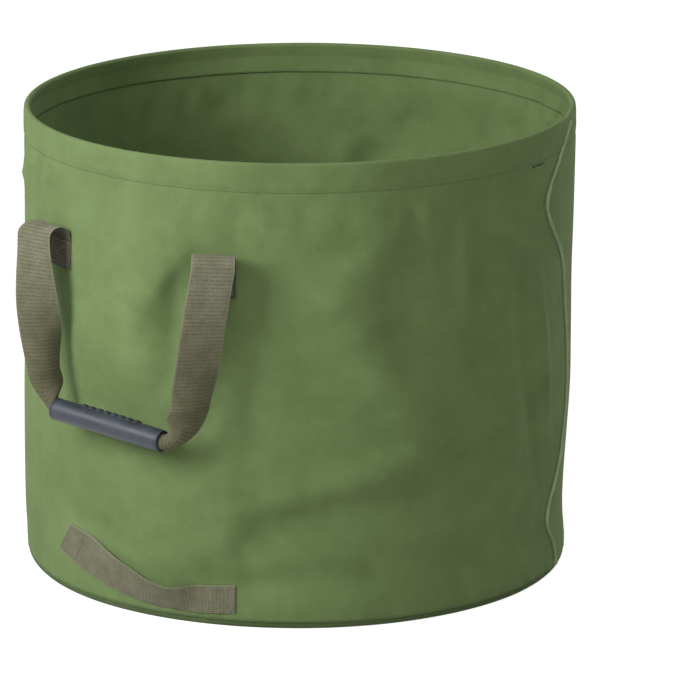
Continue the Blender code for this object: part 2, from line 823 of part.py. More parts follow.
def build_lower_handle():
    gap = arc_degrees(TOUCH_GAP, BASE_RADIUS)
    build_lower_tab("lower_tab_left", LOWER_ROUTE[0][0], LOWER_LEFT_SEWN)
    build_lower_run("lower_fold_left", LOWER_LEFT_SEWN + gap, LOWER_LEFT_FREE, LOWER_FOLD_ROWS)
    start = LOWER_LEFT_FREE + gap
    pivot = lower_pivot(start)
    build_lower_run("lower_strap", start, LOWER_RIGHT_FREE, LOWER_STRAP_ROWS, pivot)
    start = LOWER_RIGHT_FREE + gap
    build_lower_run("lower_fold_right", start, LOWER_RIGHT_SEWN - gap, LOWER_FOLD_ROWS)
    build_lower_tab("lower_tab_right", LOWER_RIGHT_SEWN, LOWER_ROUTE[-1][0])


def main():
    clear_scene()
    build_wall_panel()
    build_base_panel()
    build_base_tape()
    build_rim_hoop()
    build_hoop_joiner()
    build_ring_stitching("hem_stitching", hem_stitch_height())
    build_ring_stitching("base_stitching", base_stitch_height())
    build_side_seam_stitching()
    build_hem_bar_tack()
    build_handle("front", 0.0)
    build_handle("rear", 180.0)
    build_lower_handle()


main()
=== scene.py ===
"""Leaf bag, dressed: dented canvas shell, ribbed webbing handles, moulded grips and stitching.

Sizes are in metres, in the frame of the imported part. Angles round the bag are in degrees, from
-Y towards +X. Folds and dents are placed by their pixel in the 700 x 700 photograph.
"""
import math
from types import SimpleNamespace

import bpy
import numpy as np
from mathutils import Matrix, Vector


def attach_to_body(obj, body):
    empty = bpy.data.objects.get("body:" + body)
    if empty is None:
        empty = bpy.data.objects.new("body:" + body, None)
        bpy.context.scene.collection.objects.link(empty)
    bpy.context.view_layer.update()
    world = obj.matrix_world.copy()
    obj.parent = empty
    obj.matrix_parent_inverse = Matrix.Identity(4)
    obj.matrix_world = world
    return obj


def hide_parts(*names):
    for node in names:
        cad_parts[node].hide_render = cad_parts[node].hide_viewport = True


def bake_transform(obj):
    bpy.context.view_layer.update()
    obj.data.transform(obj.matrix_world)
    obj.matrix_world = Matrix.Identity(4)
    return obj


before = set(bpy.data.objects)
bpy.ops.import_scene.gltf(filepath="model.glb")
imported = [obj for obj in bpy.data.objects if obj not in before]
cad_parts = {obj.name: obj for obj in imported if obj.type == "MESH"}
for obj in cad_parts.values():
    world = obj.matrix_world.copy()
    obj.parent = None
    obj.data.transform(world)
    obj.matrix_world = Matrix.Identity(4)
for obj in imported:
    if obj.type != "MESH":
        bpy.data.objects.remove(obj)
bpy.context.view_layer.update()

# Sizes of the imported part
BAG_HEIGHT = 0.550
BASE_RADIUS = 0.3314
RIM_RADIUS = 0.3273
# Length of one degree round the bag
DEGREE = math.radians(1.0) * BASE_RADIUS
CANVAS = 0.0008
TOUCH_GAP = 0.0003
HOOP_RADIUS = 0.32363
HOOP_HEIGHT = 0.5463
HEM_POCKET = 0.0033
HEM_END = 0.512
HEM_STITCH = 0.516
SEAM_ANGLE = 106.0
SEAM_LAP = 0.012
LAP_RAMP = 0.026
SEAM_ROLL = 0.0034
WALL_FOOT = 0.008
BASE_MARGIN = 0.014
BASE_CORNER = 0.005
TAPE_LOW = 0.012
TAPE_HIGH = 0.032
TAPE_THICKNESS = 0.0006
BASE_STITCH = 0.0105
BAR_TACK_ANGLE = 94.5
BAR_TACK_LENGTH = 0.026
THREAD_LIFT = 0.00022
THREAD_SINK = 0.00008
RIB_PITCH = 0.0044
RIB_RISE = 0.00011
SEWN_RIB_RISE = 0.0001
WEBBING_WIDTH = 0.050
WEBBING_THICKNESS = 0.0016
TAB_ANGLE = 20.5
TAB_LOW = 0.393
TAB_TOP = 0.429
FOLD_RISE = 0.002
FOLD_RADIUS = 0.014
CORE_CURL = 5.9
# Each arm: the way its bend steps off the wall and the ways it faces at its top and foot, in degrees,
# how far past and over the grip's end its foot stands, how far into the turn to the grip its corner
# is, its bow and lean (across, out, up), its twist in degrees and its curl in radians, each with the
# share of the arm where it sets in.
ARMS = {
    -1: SimpleNamespace(
        away=-23.0, top=-2.0, foot=10.0, past=0.0105, over=0.040, throat=0.5,
        bow=(-0.0026, 0.0026, 0.0), lean=(-0.0040, 0.0025, 0.0),
        twist=52.0, twist_start=0.0, curl=2.2, curl_start=0.50,
    ),
    1: SimpleNamespace(
        away=33.0, top=30.0, foot=32.0, past=0.042, over=0.042, throat=0.45,
        bow=(0.001, 0.003, 0.0), lean=(0.0, 0.0, 0.0),
        twist=20.0, twist_start=-0.1, curl=1.4, curl_start=0.66,
    ),
}
GRIP_LENGTH = 0.160
GRIP_RADIUS = 0.013
GRIP_BORE_RADIUS = 0.010
# The rounding and the groove at a grip's end: how far in along it and below its surface
GRIP_END = [
    (0.0, 0.0016), (0.0004, 0.0007), (0.0012, 0.0), (0.0030, 0.0), (0.0034, 0.0005), (0.0040, 0.0005),
]
GRIP_CENTRE = (-0.004, 0.35737, 0.232)
GRIP_SLOPE = 3.9
BUMP_COUNT = 8
BUMP_PITCH = 0.011
BUMP_TILT = 20.0
BUMP_SIZE = (0.0046, 0.0064)
BUMP_RISE = 0.0022
LOWER_WIDTH = 0.038
LOWER_THICKNESS = 0.0014
# Angle, height, width in metres, and tilt along the wall and lean out of it in degrees
LOWER_ROUTE = [
    (-19.2, 0.0668, 0.0415, 33.0, 0.0),
    (-16.0, 0.0625, 0.0425, 27.0, 0.0),
    (-13.0, 0.0588, 0.0450, 20.0, 0.0),
    (-9.0, 0.0534, 0.0455, 17.0, 3.0),
    (-4.5, 0.0466, 0.0440, 17.0, 5.0),
    (1.0, 0.0391, 0.0385, 16.0, 10.0),
    (6.0, 0.0322, 0.0345, 10.0, 19.0),
    (10.5, 0.0297, 0.0335, 3.0, 25.0),
    (14.0, 0.0302, 0.0335, -3.0, 18.0),
    (16.2, 0.0313, 0.0335, -4.0, 7.0),
    (18.3, 0.0315, 0.0335, -1.0, 0.0),
    (21.0, 0.0328, 0.0335, 0.0, 0.0),
    (24.2, 0.0340, 0.0335, 0.0, 0.0),
]

# Where the low strap starts to lie down on the wall and where it has, at its left and its right
LAID_DOWN = ((-2.0, -13.0), (12.5, 18.0))

# Camera fitted to the photograph
CAMERA_TURN = 37.5
CAMERA_DISTANCE = 5.4
CAMERA_HEIGHT = 1.770
CAMERA_PITCH = 15.81
CAMERA_YAW = 0.63
FOCAL_PIXELS = 4654.9
PHOTO_SIZE = 700
SENSOR = 36.0


def round_turn(angle):
    turn = np.radians(angle)
    return np.sin(turn), -np.cos(turn)


def round_point(radius, angle, height):
    across, along = round_turn(angle)
    return Vector((radius * across, radius * along, height))


def wall_radius(height):
    return BASE_RADIUS + (RIM_RADIUS - BASE_RADIUS) * height / BAG_HEIGHT


def smooth(share):
    share = np.clip(share, 0.0, 1.0)
    return share * share * (3 - 2 * share)


# The photograph's camera, and the place on the wall that one of its pixels shows
camera_turn = Matrix.Rotation(math.radians(CAMERA_TURN), 3, "Z")
camera_place = camera_turn @ Vector((0, -CAMERA_DISTANCE, CAMERA_HEIGHT))
pitch = math.radians(CAMERA_PITCH)
yaw = math.radians(CAMERA_YAW)
camera_forward = camera_turn @ Vector(
    (math.sin(yaw) * math.cos(pitch), math.cos(yaw) * math.cos(pitch), -math.sin(pitch))
)
camera_right = camera_forward.cross(Vector((0, 0, 1))).normalized()
camera_up = camera_right.cross(camera_forward)


def spot(px, py):
    """Angle round the bag and height of the wall point that a pixel of the photo shows."""
    middle = PHOTO_SIZE / 2
    ray = camera_forward + (camera_right * (px - middle) - camera_up * (py - middle)) / FOCAL_PIXELS
    radius = wall_radius(BAG_HEIGHT / 2)
    for _ in range(4):
        a = ray.x**2 + ray.y**2
        b = camera_place.x * ray.x + camera_place.y * ray.y
        c = camera_place.x**2 + camera_place.y**2 - radius * radius
        reach = (-b - math.sqrt(max(b * b - a * c, 0.0))) / a
        point = camera_place + ray * reach
        radius = wall_radius(point.z)
    return math.degrees(math.atan2(point.x, -point.y)), point.z


# Folds of the cloth: a line of photo pixels with its height in mm at each, and its width in mm on
# the left and the right of its run. A valley has negative heights.
FOLDS = [
    # lit panel between the right strap and an apex low on the right: its upper, right and low edges
    ([(416, 207, 0), (388, 237, 5.6), (354, 285, 5.2), (346, 309, 6.4), (360, 339, 8.0),
      (392, 387, 9.0), (422, 423, 9.2), (431, 449, 8.8), (404, 469, 8.5), (356, 487, 8.2),
      (304, 506, 6.8), (240, 531, 0)], 32, 33),
    # dark crease under it
    ([(225, 553, 0), (243, 546, -6.4), (267, 533, -9.0), (309, 521, -10.4), (359, 511, -10.0),
      (419, 496, -8.6), (487, 475, -3.8), (523, 467, 0)], 28, 24),
    ([(270, 591, 0), (300, 566, -1.1), (380, 551, -1.6), (450, 536, 1.1), (500, 521, 0)], 27, 27),
    # ridge from the right strap's foot down to the base
    ([(196, 420, 0), (204, 450, 7.8), (217, 490, 8.4), (228, 535, 7.6), (234, 570, 3.0),
      (238, 600, 0)], 60, 32),
    ([(237, 360, 0), (236, 396, 3.0), (233, 446, 2.1), (232, 496, 0)], 30, 17),
    ([(226, 258, 0), (221, 290, 8.5), (216, 330, 9.0), (210, 370, 8.0), (204, 412, 0)], 22, 20),
    ([(250, 258, 0), (258, 292, -9.0), (259, 330, -8.0), (257, 380, -6.5), (254, 440, -3.0),
      (250, 480, 0)], 22, 34),
    # pull beside the right strap's sewn end
    ([(196, 235, 0), (182, 250, 5.3), (152, 291, 5.5), (136, 321, 3.5), (124, 345, 0)], 32, 12),
    ([(210, 271, 0), (190, 293, -5.7), (172, 328, -6.6), (168, 374, -4.6), (160, 411, 0)], 19, 18),
    # soft ripples under the hem
    ([(243, 190, 0), (239, 216, -1.9), (233, 240, -0.9), (229, 262, 0)], 10, 11),
    ([(263, 190, 0), (263, 222, 1.7), (267, 252, -0.5), (271, 274, 0)], 8, 11),
    ([(282, 190, 0), (288, 220, 0.9), (294, 246, 0)], 8, 9),
    ([(300, 189, 0), (304, 214, -1.1), (310, 239, 0)], 8, 8),
    ([(325, 187, 0), (333, 229, 0.9), (339, 259, -0.6), (342, 289, 0)], 13, 11),
    ([(366, 188, 0), (363, 220, 1.2), (354, 250, -0.8), (348, 268, 0)], 12, 14),
    ([(396, 186, 0), (392, 212, -0.8), (388, 236, 0)], 9, 9),
    ([(423, 186, 0), (427, 216, 2.6), (433, 250, 1.1), (437, 280, 0)], 13, 10),
    ([(459, 185, 0), (465, 231, 4.4), (467, 291, 4.0), (471, 341, 0)], 12, 15),
    ([(492, 180, 0), (490, 205, -1.6), (488, 228, 0)], 9, 9),
    ([(201, 188, 0), (193, 212, -1.2), (183, 238, 0)], 10, 11),
    ([(152, 186, 0), (146, 212, -0.6), (140, 240, 0)], 10, 10),
    # dark crease on the right, and the folds between it and the seam
    ([(516, 236, 0), (520, 290, -3.2), (523, 330, -4.8), (530, 392, -6.4), (537, 431, -7.8),
      (544, 487, -5.0), (548, 520, 0)], 14, 9),
    ([(499, 210, 0), (501, 260, 2.2), (503, 300, 2.5), (511, 400, 2.4), (519, 470, 1.0),
      (523, 510, 0)], 19, 12),
    ([(470, 300, 0), (478, 380, -1.4), (486, 450, -1.7), (490, 500, 0)], 16, 20),
    ([(533, 236, 0), (541, 290, 2.0), (548, 360, 2.6), (553, 430, 1.6), (556, 470, 0)], 9, 9),
    # by the grab strap and under the left arm
    ([(37, 482, 0), (59, 502, -2.8), (107, 533, -3.8), (149, 562, -1.7), (189, 592, 0)], 24, 17),
    ([(79, 222, 0), (84, 256, -4.2), (85, 300, -3.8), (82, 336, 0)], 12, 20),
    ([(98, 419, 0), (100, 379, 2.1), (103, 299, 0.6), (97, 230, -1.0), (94, 199, 0)], 42, 26),
    ([(138, 440, 0), (150, 465, 4.4), (168, 510, 5.6), (182, 550, 4.8), (188, 590, 0)], 33, 43),
    ([(296, 239, 0), (286, 299, -3.2), (306, 369, -4.8), (346, 429, 0)], 23, 27),
    ([(400, 250, 0), (390, 300, -1.2), (402, 350, -1.6), (430, 400, 0)], 17, 24),
    # wrinkles under the left end of the rim
    ([(27, 118, 0), (29, 140, 4.2), (34, 162, 4.8), (40, 186, 0)], 6, 5),
    ([(36, 120, 0), (41, 138, 3.4), (47, 156, 2.8), (54, 172, 0)], 5, 6),
    ([(25, 150, 0), (26, 172, 4.4), (28, 196, 3.8), (31, 222, 0)], 7, 6),
    ([(40, 148, 0), (39, 168, -4.4), (37, 190, 0)], 6, 7),
    ([(52, 150, 0), (48, 178, 2.8), (44, 204, 2.2), (41, 222, 0)], 6, 8),
]

# Broad hollows and swells: pixel, half sizes in mm round the bag and up it, and height in mm
DENTS = [
    (400, 327, 49, 49, -2.1),
    (174, 307, 13, 47, -6.6),
    (137, 318, 26, 100, 5.1),
    (344, 433, 64, 104, -7.0),
    (307, 447, 39, 70, -4.1),
    (416, 551, 156, 49, -6.2),
    (302, 585, 133, 17, -5.0),
    (482, 402, 53, 82, -1.6),
    (544, 468, 69, 88, -7.9),
    (559, 550, 75, 63, -6.2),
    (566, 300, 48, 111, -2.6),
    (101, 197, 89, 38, -4.0),
    (157, 238, 55, 33, 4.0),
    (84, 355, 26, 66, 4.5),
]
# Swells out of the camera's sight or on its outline: angle, height, half sizes in mm, height in mm
SIDE_DENTS = [
    (-56.0, 0.150, 120, 170, 4.0),
    (127.0, 0.130, 90, 150, -5.0),
    (127.0, 0.330, 80, 110, -3.0),
    (-100.0, 0.300, 90, 160, -3.0),
    (-118.0, 0.140, 60, 80, 3.5),
]
FOLD_JOIN = 0.009
FOLD_TURN = 0.006
SWELL_LIMIT = 11.0
SWELL_GAIN = 1.08
# Fine waves of the whole wall: height in mm, number round the bag, waves up it and phase
RIPPLES = [(0.30, 7, 13.0, 0.6), (0.22, 11, 21.0, 2.1), (0.16, 23, 34.0, 4.0), (0.10, 41, 61.0, 1.2)]
# The foot drawn in or out: angle, half size in mm, height of its top, run down to full, rise in mm
FOOT_SHIFTS = [(127.0, 110, 0.24, 0.20, -10.0), (-14.0, 130, 0.10, 0.08, 3.2)]


def gap_degrees(angle, middle):
    return (angle - middle + 180.0) % 360.0 - 180.0


def fold_height(angle, height, line, rises, left, right):
    """Height of one fold over the plain wall, in mm, at arrays of angles and heights."""
    away = []
    value = []
    for (a, b), (low, high) in zip(zip(line, line[1:]), zip(rises, rises[1:])):
        u = gap_degrees(angle, a[0]) * DEGREE
        v = height - a[1]
        du = (b[0] - a[0]) * DEGREE
        dv = b[1] - a[1]
        run = math.hypot(du, dv)
        du, dv = du / run, dv / run
        along = np.clip(u * du + v * dv, 0.0, run)
        square = (u - along * du) ** 2 + (v - along * dv) ** 2
        side = 0.5 + 0.5 * np.tanh((u * dv - v * du) / FOLD_TURN)
        width = (right + (left - right) * side) / 1000.0
        away.append(square)
        value.append((low + (high - low) * smooth(along / run)) * np.exp(-square / width**2))
    away = np.array(away)
    share = np.exp(-(away - away.min(axis=0)) / (2 * FOLD_JOIN**2))
    return (share * np.array(value)).sum(axis=0) / share.sum(axis=0)


def ripple(angle, height, count, rise, phase):
    """Even waves round the bag and up it, whole in number so that they close on themselves."""
    return np.sin(np.radians(angle) * count + phase) * np.sin(height * rise + phase * 1.7)


folds_at = [
    ([spot(x, y) for x, y, _ in line], [rise for _, _, rise in line], left, right)
    for line, left, right in FOLDS
]
dents_at = [(*spot(px, py), across, up, depth) for px, py, across, up, depth in DENTS]


def distance_round(angle, middle):
    """Distance in mm along the wall from an angle to others."""
    return gap_degrees(angle, middle) * DEGREE * 1000


def mound(angle, height, middle, level, across, up):
    """1 at a place on the wall, fading out over half sizes in mm."""
    away = (distance_round(angle, middle) / across) ** 2
    return np.exp(-away - ((height - level) / up * 1000) ** 2)


def swell(angle, height):
    """How far the cloth stands out from its plain wall, in metres, at arrays of places."""
    total = np.zeros(angle.shape)
    for turn, size in ((0.0, 1.0), (180.0, 0.8)):
        seen = angle - turn
        for line, rises, left, right in folds_at:
            total += size * fold_height(seen, height, line, rises, left, right)
        for *place, depth in dents_at:
            total += size * depth * mound(seen, height, *place)
    for *place, depth in SIDE_DENTS:
        total += depth * mound(angle, height, *place)
    total = SWELL_LIMIT * np.tanh(total * SWELL_GAIN / SWELL_LIMIT)
    for rise, *waves in RIPPLES:
        total += rise * ripple(angle, height, *waves)
    # the hem holds the cloth at the top, and the foot's corner holds it half as firmly
    total *= smooth((0.534 - height) / 0.030) * (0.5 + 0.5 * smooth((height - 0.010) / 0.060))
    for middle, across, top, run, depth in FOOT_SHIFTS:
        fade = np.exp(-((distance_round(angle, middle) / across) ** 2))
        total += depth * fade * smooth((top - height) / run)
    return total / 1000.0


# The side seam wanders with the folds of the cloth: its pixels in the photo
SEAM_PIXELS = [
    (571, 112), (566, 124), (560, 146), (554, 164), (547, 181), (542, 197), (541, 207),
    (543, 217), (549, 232), (556, 247), (561, 262), (563, 282), (565, 312), (567, 344),
    (567, 400), (562, 460), (555, 492), (549, 512), (548, 530), (556, 545),
]
seam_track = sorted((h, gap_degrees(a, SEAM_ANGLE)) for a, h in (spot(*p) for p in SEAM_PIXELS))
seam_heights = np.array([h for h, _ in seam_track])
seam_shifts = np.clip(np.array([s for _, s in seam_track]), -12.0, 13.0)


def seam_shift(height):
    wide = sum(np.interp(height + step, seam_heights, seam_shifts) for step in (-0.012, -0.004, 0.004, 0.012))
    return wide / 4.0


def around(radius, angle, height):
    across, along = round_turn(angle)
    return np.stack([radius * across, radius * along, height], axis=-1)


def outward(angle):
    """Unit vectors straight out from the bag's axis, at an array of angles."""
    return np.stack([*round_turn(angle), np.zeros(angle.shape)], axis=-1)


def cloth_point(angle, height, lift):
    """Points on the outer face of the wall, a lift above it."""
    return around(wall_radius(height) + swell(angle, height) + lift, angle, height)


# Materials

class Graph:
    """The nodes of a material or world, with short names for the maths between them."""

    def __init__(self, owner):
        owner.use_nodes = True
        self.owner = owner
        self.nodes = owner.node_tree.nodes
        self.links = owner.node_tree.links

    def wire(self, value, socket):
        """Give a socket a link, a number or a colour."""
        if isinstance(value, bpy.types.NodeSocket):
            self.links.new(value, socket)
        else:
            socket.default_value = (*value, 1.0) if isinstance(value, tuple) else value

    def surface(self, values):
        """Fill in the material's surface by its inputs' names."""
        shader = self.nodes["Principled BSDF"]
        for name, value in values.items():
            self.wire(value, shader.inputs[name])
        return self.owner

    def math(self, operation, a, b=0.0, c=0.0):
        node = self.nodes.new("ShaderNodeMath")
        node.operation = operation
        for value, socket in zip((a, b, c), node.inputs):
            self.wire(value, socket)
        return node.outputs[0]

    def wave(self, value, pitch):
        """0 to 1 and back once over each pitch."""
        sine = self.math("SINE", self.math("MULTIPLY", value, math.tau / pitch))
        return self.math("MULTIPLY_ADD", sine, 0.5, 0.5)

    def noise(self, vector, scale, detail=3.0, roughness=0.55):
        node = self.nodes.new("ShaderNodeTexNoise")
        node.inputs["Scale"].default_value = scale
        node.inputs["Detail"].default_value = detail
        node.inputs["Roughness"].default_value = roughness
        self.links.new(vector, node.inputs["Vector"])
        return node.outputs["Fac"]

    def spread(self, value, low, high, to_low=0.0, to_high=1.0):
        node = self.nodes.new("ShaderNodeMapRange")
        for k, number in enumerate((value, low, high, to_low, to_high)):
            self.wire(number, node.inputs[k])
        return node.outputs[0]

    def mix(self, share, first, second, blend="MIX"):
        node = self.nodes.new("ShaderNodeMix")
        node.data_type = "RGBA"
        node.blend_type = blend
        for k, value in ((0, share), (6, first), (7, second)):
            self.wire(value, node.inputs[k])
        return node.outputs[2]

    def relief(self, *layers):
        """Bumps one over the other, each a height, a strength and a distance."""
        below = None
        for height, strength, distance in layers:
            node = self.nodes.new("ShaderNodeBump")
            node.inputs["Strength"].default_value = strength
            node.inputs["Distance"].default_value = distance
            self.links.new(height, node.inputs["Height"])
            if below is not None:
                self.links.new(below, node.inputs["Normal"])
            below = node.outputs[0]
        return below

    def split(self, vector):
        parts = self.nodes.new("ShaderNodeSeparateXYZ")
        self.links.new(vector, parts.inputs[0])
        return parts.outputs[0], parts.outputs[1], parts.outputs[2]

    def uv(self):
        node = self.nodes.new("ShaderNodeUVMap")
        node.uv_map = "cloth"
        return node.outputs[0], *self.split(node.outputs[0])[:2]

    def place(self):
        return self.nodes.new("ShaderNodeTexCoord").outputs["Object"]

    def backdrop_rays(self):
        """1 for the rays that see the background: the camera's, glossy and transmitted ones."""
        path = self.nodes.new("ShaderNodeLightPath").outputs
        rest = self.math("MAXIMUM", path["Is Glossy Ray"], path["Is Transmission Ray"])
        return self.math("MAXIMUM", path["Is Camera Ray"], rest)


def shaded(colour, share):
    return tuple(c * share for c in colour)


def canvas_material(name, colour, dark, light):
    """Plain woven canvas: yarns over and under, slubs, soft wear and a pale sheen."""
    g = Graph(bpy.data.materials.new(name))
    uv, u, v = g.uv()
    yarn = 0.0011
    wander = g.noise(uv, 60.0)
    u = g.math("MULTIPLY_ADD", wander, 0.0006, u)
    v = g.math("MULTIPLY_ADD", wander, -0.0006, v)
    over = g.math("MULTIPLY", g.wave(u, yarn), g.wave(v, yarn * 2))
    under = g.math("MULTIPLY", g.wave(v, yarn), g.wave(u, yarn * 2))
    weave = g.math("MAXIMUM", over, under)
    slub = g.noise(uv, 900.0, 2.0)
    patch = g.noise(uv, 12.0, 6.0, 0.68)
    grain = g.noise(uv, 170.0, 3.0, 0.7)
    body = g.mix(g.spread(patch, 0.36, 0.64), dark, light)
    body = g.mix(g.spread(grain, 0.30, 0.70, 0.0, 0.30), body, colour)
    body = g.mix(g.spread(weave, 0.0, 0.6, 0.30, 0.0), body, shaded(colour, 0.62))
    return g.surface({
        "Base Color": body,
        "Roughness": g.spread(grain, 0.3, 0.7, 0.78, 0.92),
        "Normal": g.relief((weave, 0.45, 0.00030), (slub, 0.22, 0.00035), (g.noise(uv, 34.0), 0.30, 0.0016)),
        "Specular IOR Level": 0.25,
        "Sheen Weight": 0.07,
        "Sheen Roughness": 0.45,
        "Sheen Tint": (0.75, 0.95, 0.55),
    })


def webbing_material(name, colour, groove, pale, width, shade_stretch=None):
    """Ribbed webbing: cross ribs, fine lengthwise yarns, dark grooves and pale selvedges.

    The last argument gives the start and end, along it, of a stretch that painted shade darkens more and
    more.
    """
    g = Graph(bpy.data.materials.new(name))
    uv, u, v = g.uv()
    wander = g.noise(uv, 90.0)
    rib = g.wave(g.math("MULTIPLY_ADD", wander, 0.0010, v), RIB_PITCH)
    fine = g.wave(g.math("MULTIPLY_ADD", wander, 0.0004, v), RIB_PITCH / 3)
    yarn = g.wave(g.math("MULTIPLY_ADD", g.noise(uv, 200.0), 0.0004, u), 0.0016)
    fuzz = g.noise(uv, 700.0, 3.0, 0.7)
    patch = g.noise(uv, 45.0, 4.0, 0.65)
    gaps = g.spread(g.noise(uv, 380.0), 0.38, 0.60, 0.15, 1.0)
    specks = g.noise(uv, 820.0, 2.0, 0.6)
    edge = g.math("ABSOLUTE", g.math("SUBTRACT", u, width / 2))
    body = g.mix(g.spread(patch, 0.36, 0.64, 0.0, 0.70), colour, pale)
    for share, tone in (
        (g.math("MULTIPLY", g.spread(rib, 0.0, 0.5, 0.66, 0.0), gaps), groove),
        (g.spread(fine, 0.0, 0.5, 0.22, 0.0), groove),
        (g.spread(yarn, 0.0, 0.5, 0.28, 0.0), groove),
        (g.spread(fuzz, 0.50, 0.72, 0.0, 0.60), pale),
        (g.spread(specks, 0.28, 0.46, 0.45, 0.0), groove),
        (g.spread(edge, width / 2 - 0.0022, width / 2 - 0.0010, 0.0, 0.55), pale),
    ):
        body = g.mix(share, body, tone)
    # Painted shade, darker and darker along the stretch
    if shade_stretch:
        body = g.mix(g.spread(v, *shade_stretch), body, ARM_PAINTED_SHADE, "MULTIPLY")
    return g.surface({
        "Base Color": body,
        "Roughness": g.spread(fuzz, 0.3, 0.7, 0.75, 0.92),
        "Normal": g.relief((rib, 0.40, 0.00045), (fine, 0.35, 0.00022), (yarn, 0.40, 0.00022),
                           (fuzz, 0.30, 0.00025)),
        "Specular IOR Level": 0.3,
        "Sheen Weight": 0.08,
        "Sheen Roughness": 0.4,
    })


def thread_material(name, colour):
    """Twisted thread: strands wound along it, and small changes of tone."""
    g = Graph(bpy.data.materials.new(name))
    place = g.place()
    x, y, z = g.split(place)
    twist = g.wave(g.math("ADD", g.math("ADD", x, y), z), 0.0006)
    tone = g.noise(place, 300.0)
    return g.surface({
        "Base Color": g.mix(g.spread(tone, 0.3, 0.7), shaded(colour, 0.8), colour),
        "Roughness": g.spread(tone, 0.3, 0.7, 0.5, 0.7),
        "Normal": g.relief((twist, 0.5, 0.0001)),
    })


def grip_material(name, dark, rubbed):
    """Satin moulded grip: fine pebbled grain, rubbed paler where fingers touch."""
    g = Graph(bpy.data.materials.new(name))
    place = g.place()
    rub = g.noise(place, 45.0, 4.0, 0.65)
    return g.surface({
        "Base Color": g.mix(g.spread(rub, 0.35, 0.70), dark, rubbed),
        "Roughness": g.spread(rub, 0.35, 0.70, 0.42, 0.56),
        "Normal": g.relief((g.noise(place, 1400.0, 2.0), 0.25, 0.00012),
                           (g.noise(place, 120.0), 0.10, 0.0004)),
        "Specular IOR Level": 0.5,
    })


def steel_material(name):
    """Drawn spring wire with fine scratches and a few dull patches."""
    g = Graph(bpy.data.materials.new(name))
    place = g.place()
    dull = g.noise(place, 60.0, 4.0)
    return g.surface({
        "Base Color": g.mix(g.spread(dull, 0.35, 0.7), (0.58, 0.58, 0.57), (0.36, 0.35, 0.34)),
        "Roughness": g.spread(dull, 0.3, 0.7, 0.28, 0.52),
        "Normal": g.relief((g.noise(place, 2500.0, 2.0), 0.2, 0.00005)),
        "Metallic": 1.0,
    })


# Painted shade that deepens along the carry arms towards the grip
ARM_PAINTED_SHADE = (0.68, 0.67, 0.57)
canvas = canvas_material("canvas", (0.183, 0.253, 0.097), (0.154, 0.217, 0.081), (0.210, 0.288, 0.114))
# A paler copy of the canvas that paints the light caught along the side seam's ridge
highlight_painted_canvas = canvas_material("highlight_painted_canvas", (0.440, 0.525, 0.315), (0.375, 0.455, 0.260),
                              (0.505, 0.590, 0.380))
# A darker copy of the canvas that paints the shade along the foot's margin and corner
shade_painted_base_canvas = canvas_material("shade_painted_base_canvas", (0.098, 0.138, 0.054), (0.084, 0.120, 0.046),
                              (0.112, 0.156, 0.064))
tape_cloth = canvas_material("tape_cloth", (0.13, 0.19, 0.085), (0.11, 0.165, 0.07), (0.15, 0.21, 0.10))
# The arms' webbing, with painted shade deepening from 0.04 m to 0.21 m along them
webbing = webbing_material("webbing", (0.185, 0.176, 0.112), (0.045, 0.044, 0.026), (0.300, 0.285, 0.200),
                           WEBBING_WIDTH, (0.04, 0.21))
# A darker copy of the webbing that paints the shade inside the handles' loops: on the sewn ends and the
# bends' inner faces
shade_painted_webbing = webbing_material("shade_painted_webbing", (0.080, 0.074, 0.045), (0.025, 0.024, 0.014),
                                 (0.130, 0.122, 0.082), WEBBING_WIDTH)
low_webbing = webbing_material("low_webbing", (0.175, 0.168, 0.106), (0.070, 0.069, 0.040),
                               (0.275, 0.264, 0.180), LOWER_WIDTH)
green_thread = thread_material("green_thread", (0.120, 0.180, 0.068))
hem_thread = thread_material("hem_thread", (0.075, 0.115, 0.042))
dark_thread = thread_material("dark_thread", (0.030, 0.045, 0.018))
pale_thread = thread_material("pale_thread", (0.330, 0.320, 0.220))
low_thread = thread_material("low_thread", (0.175, 0.170, 0.108))
olive_thread = thread_material("olive_thread", (0.200, 0.185, 0.125))
grip_plastic = grip_material("grip_plastic", (0.024, 0.027, 0.040), (0.046, 0.053, 0.074))
grip_end = grip_material("grip_end", (0.004, 0.004, 0.005), (0.008, 0.008, 0.010))
spring_steel = steel_material("spring_steel")

# The two kinds of webbing, each with the number of points across it
CARRY = SimpleNamespace(width=WEBBING_WIDTH, thickness=WEBBING_THICKNESS, columns=21, material=webbing)
LOW = SimpleNamespace(width=LOWER_WIDTH, thickness=LOWER_THICKNESS, columns=17, material=low_webbing)


# Mesh helpers

def grid_faces(rows, columns, closed=False):
    """Quads of a grid of points laid row by row; closed joins the last row to the first."""
    last = rows if closed else rows - 1
    r, c = np.meshgrid(np.arange(last), np.arange(columns - 1), indexing="ij")
    a = (r * columns + c).ravel()
    b = ((r + 1) % rows * columns + c).ravel()
    return np.stack([a, a + 1, b + 1, b], axis=1)


def tube_faces(rows, sides, closed=False):
    """Quads between rings of points; closed joins the last ring to the first."""
    faces = []
    for r in range(rows if closed else rows - 1):
        a = r * sides
        b = (r + 1) % rows * sides
        for q in range(sides):
            n = (q + 1) % sides
            faces.append((a + q, b + q, b + n, a + n))
    return faces


def add_object(name, data):
    item = bpy.data.objects.new(name, data)
    bpy.context.scene.collection.objects.link(item)
    return item


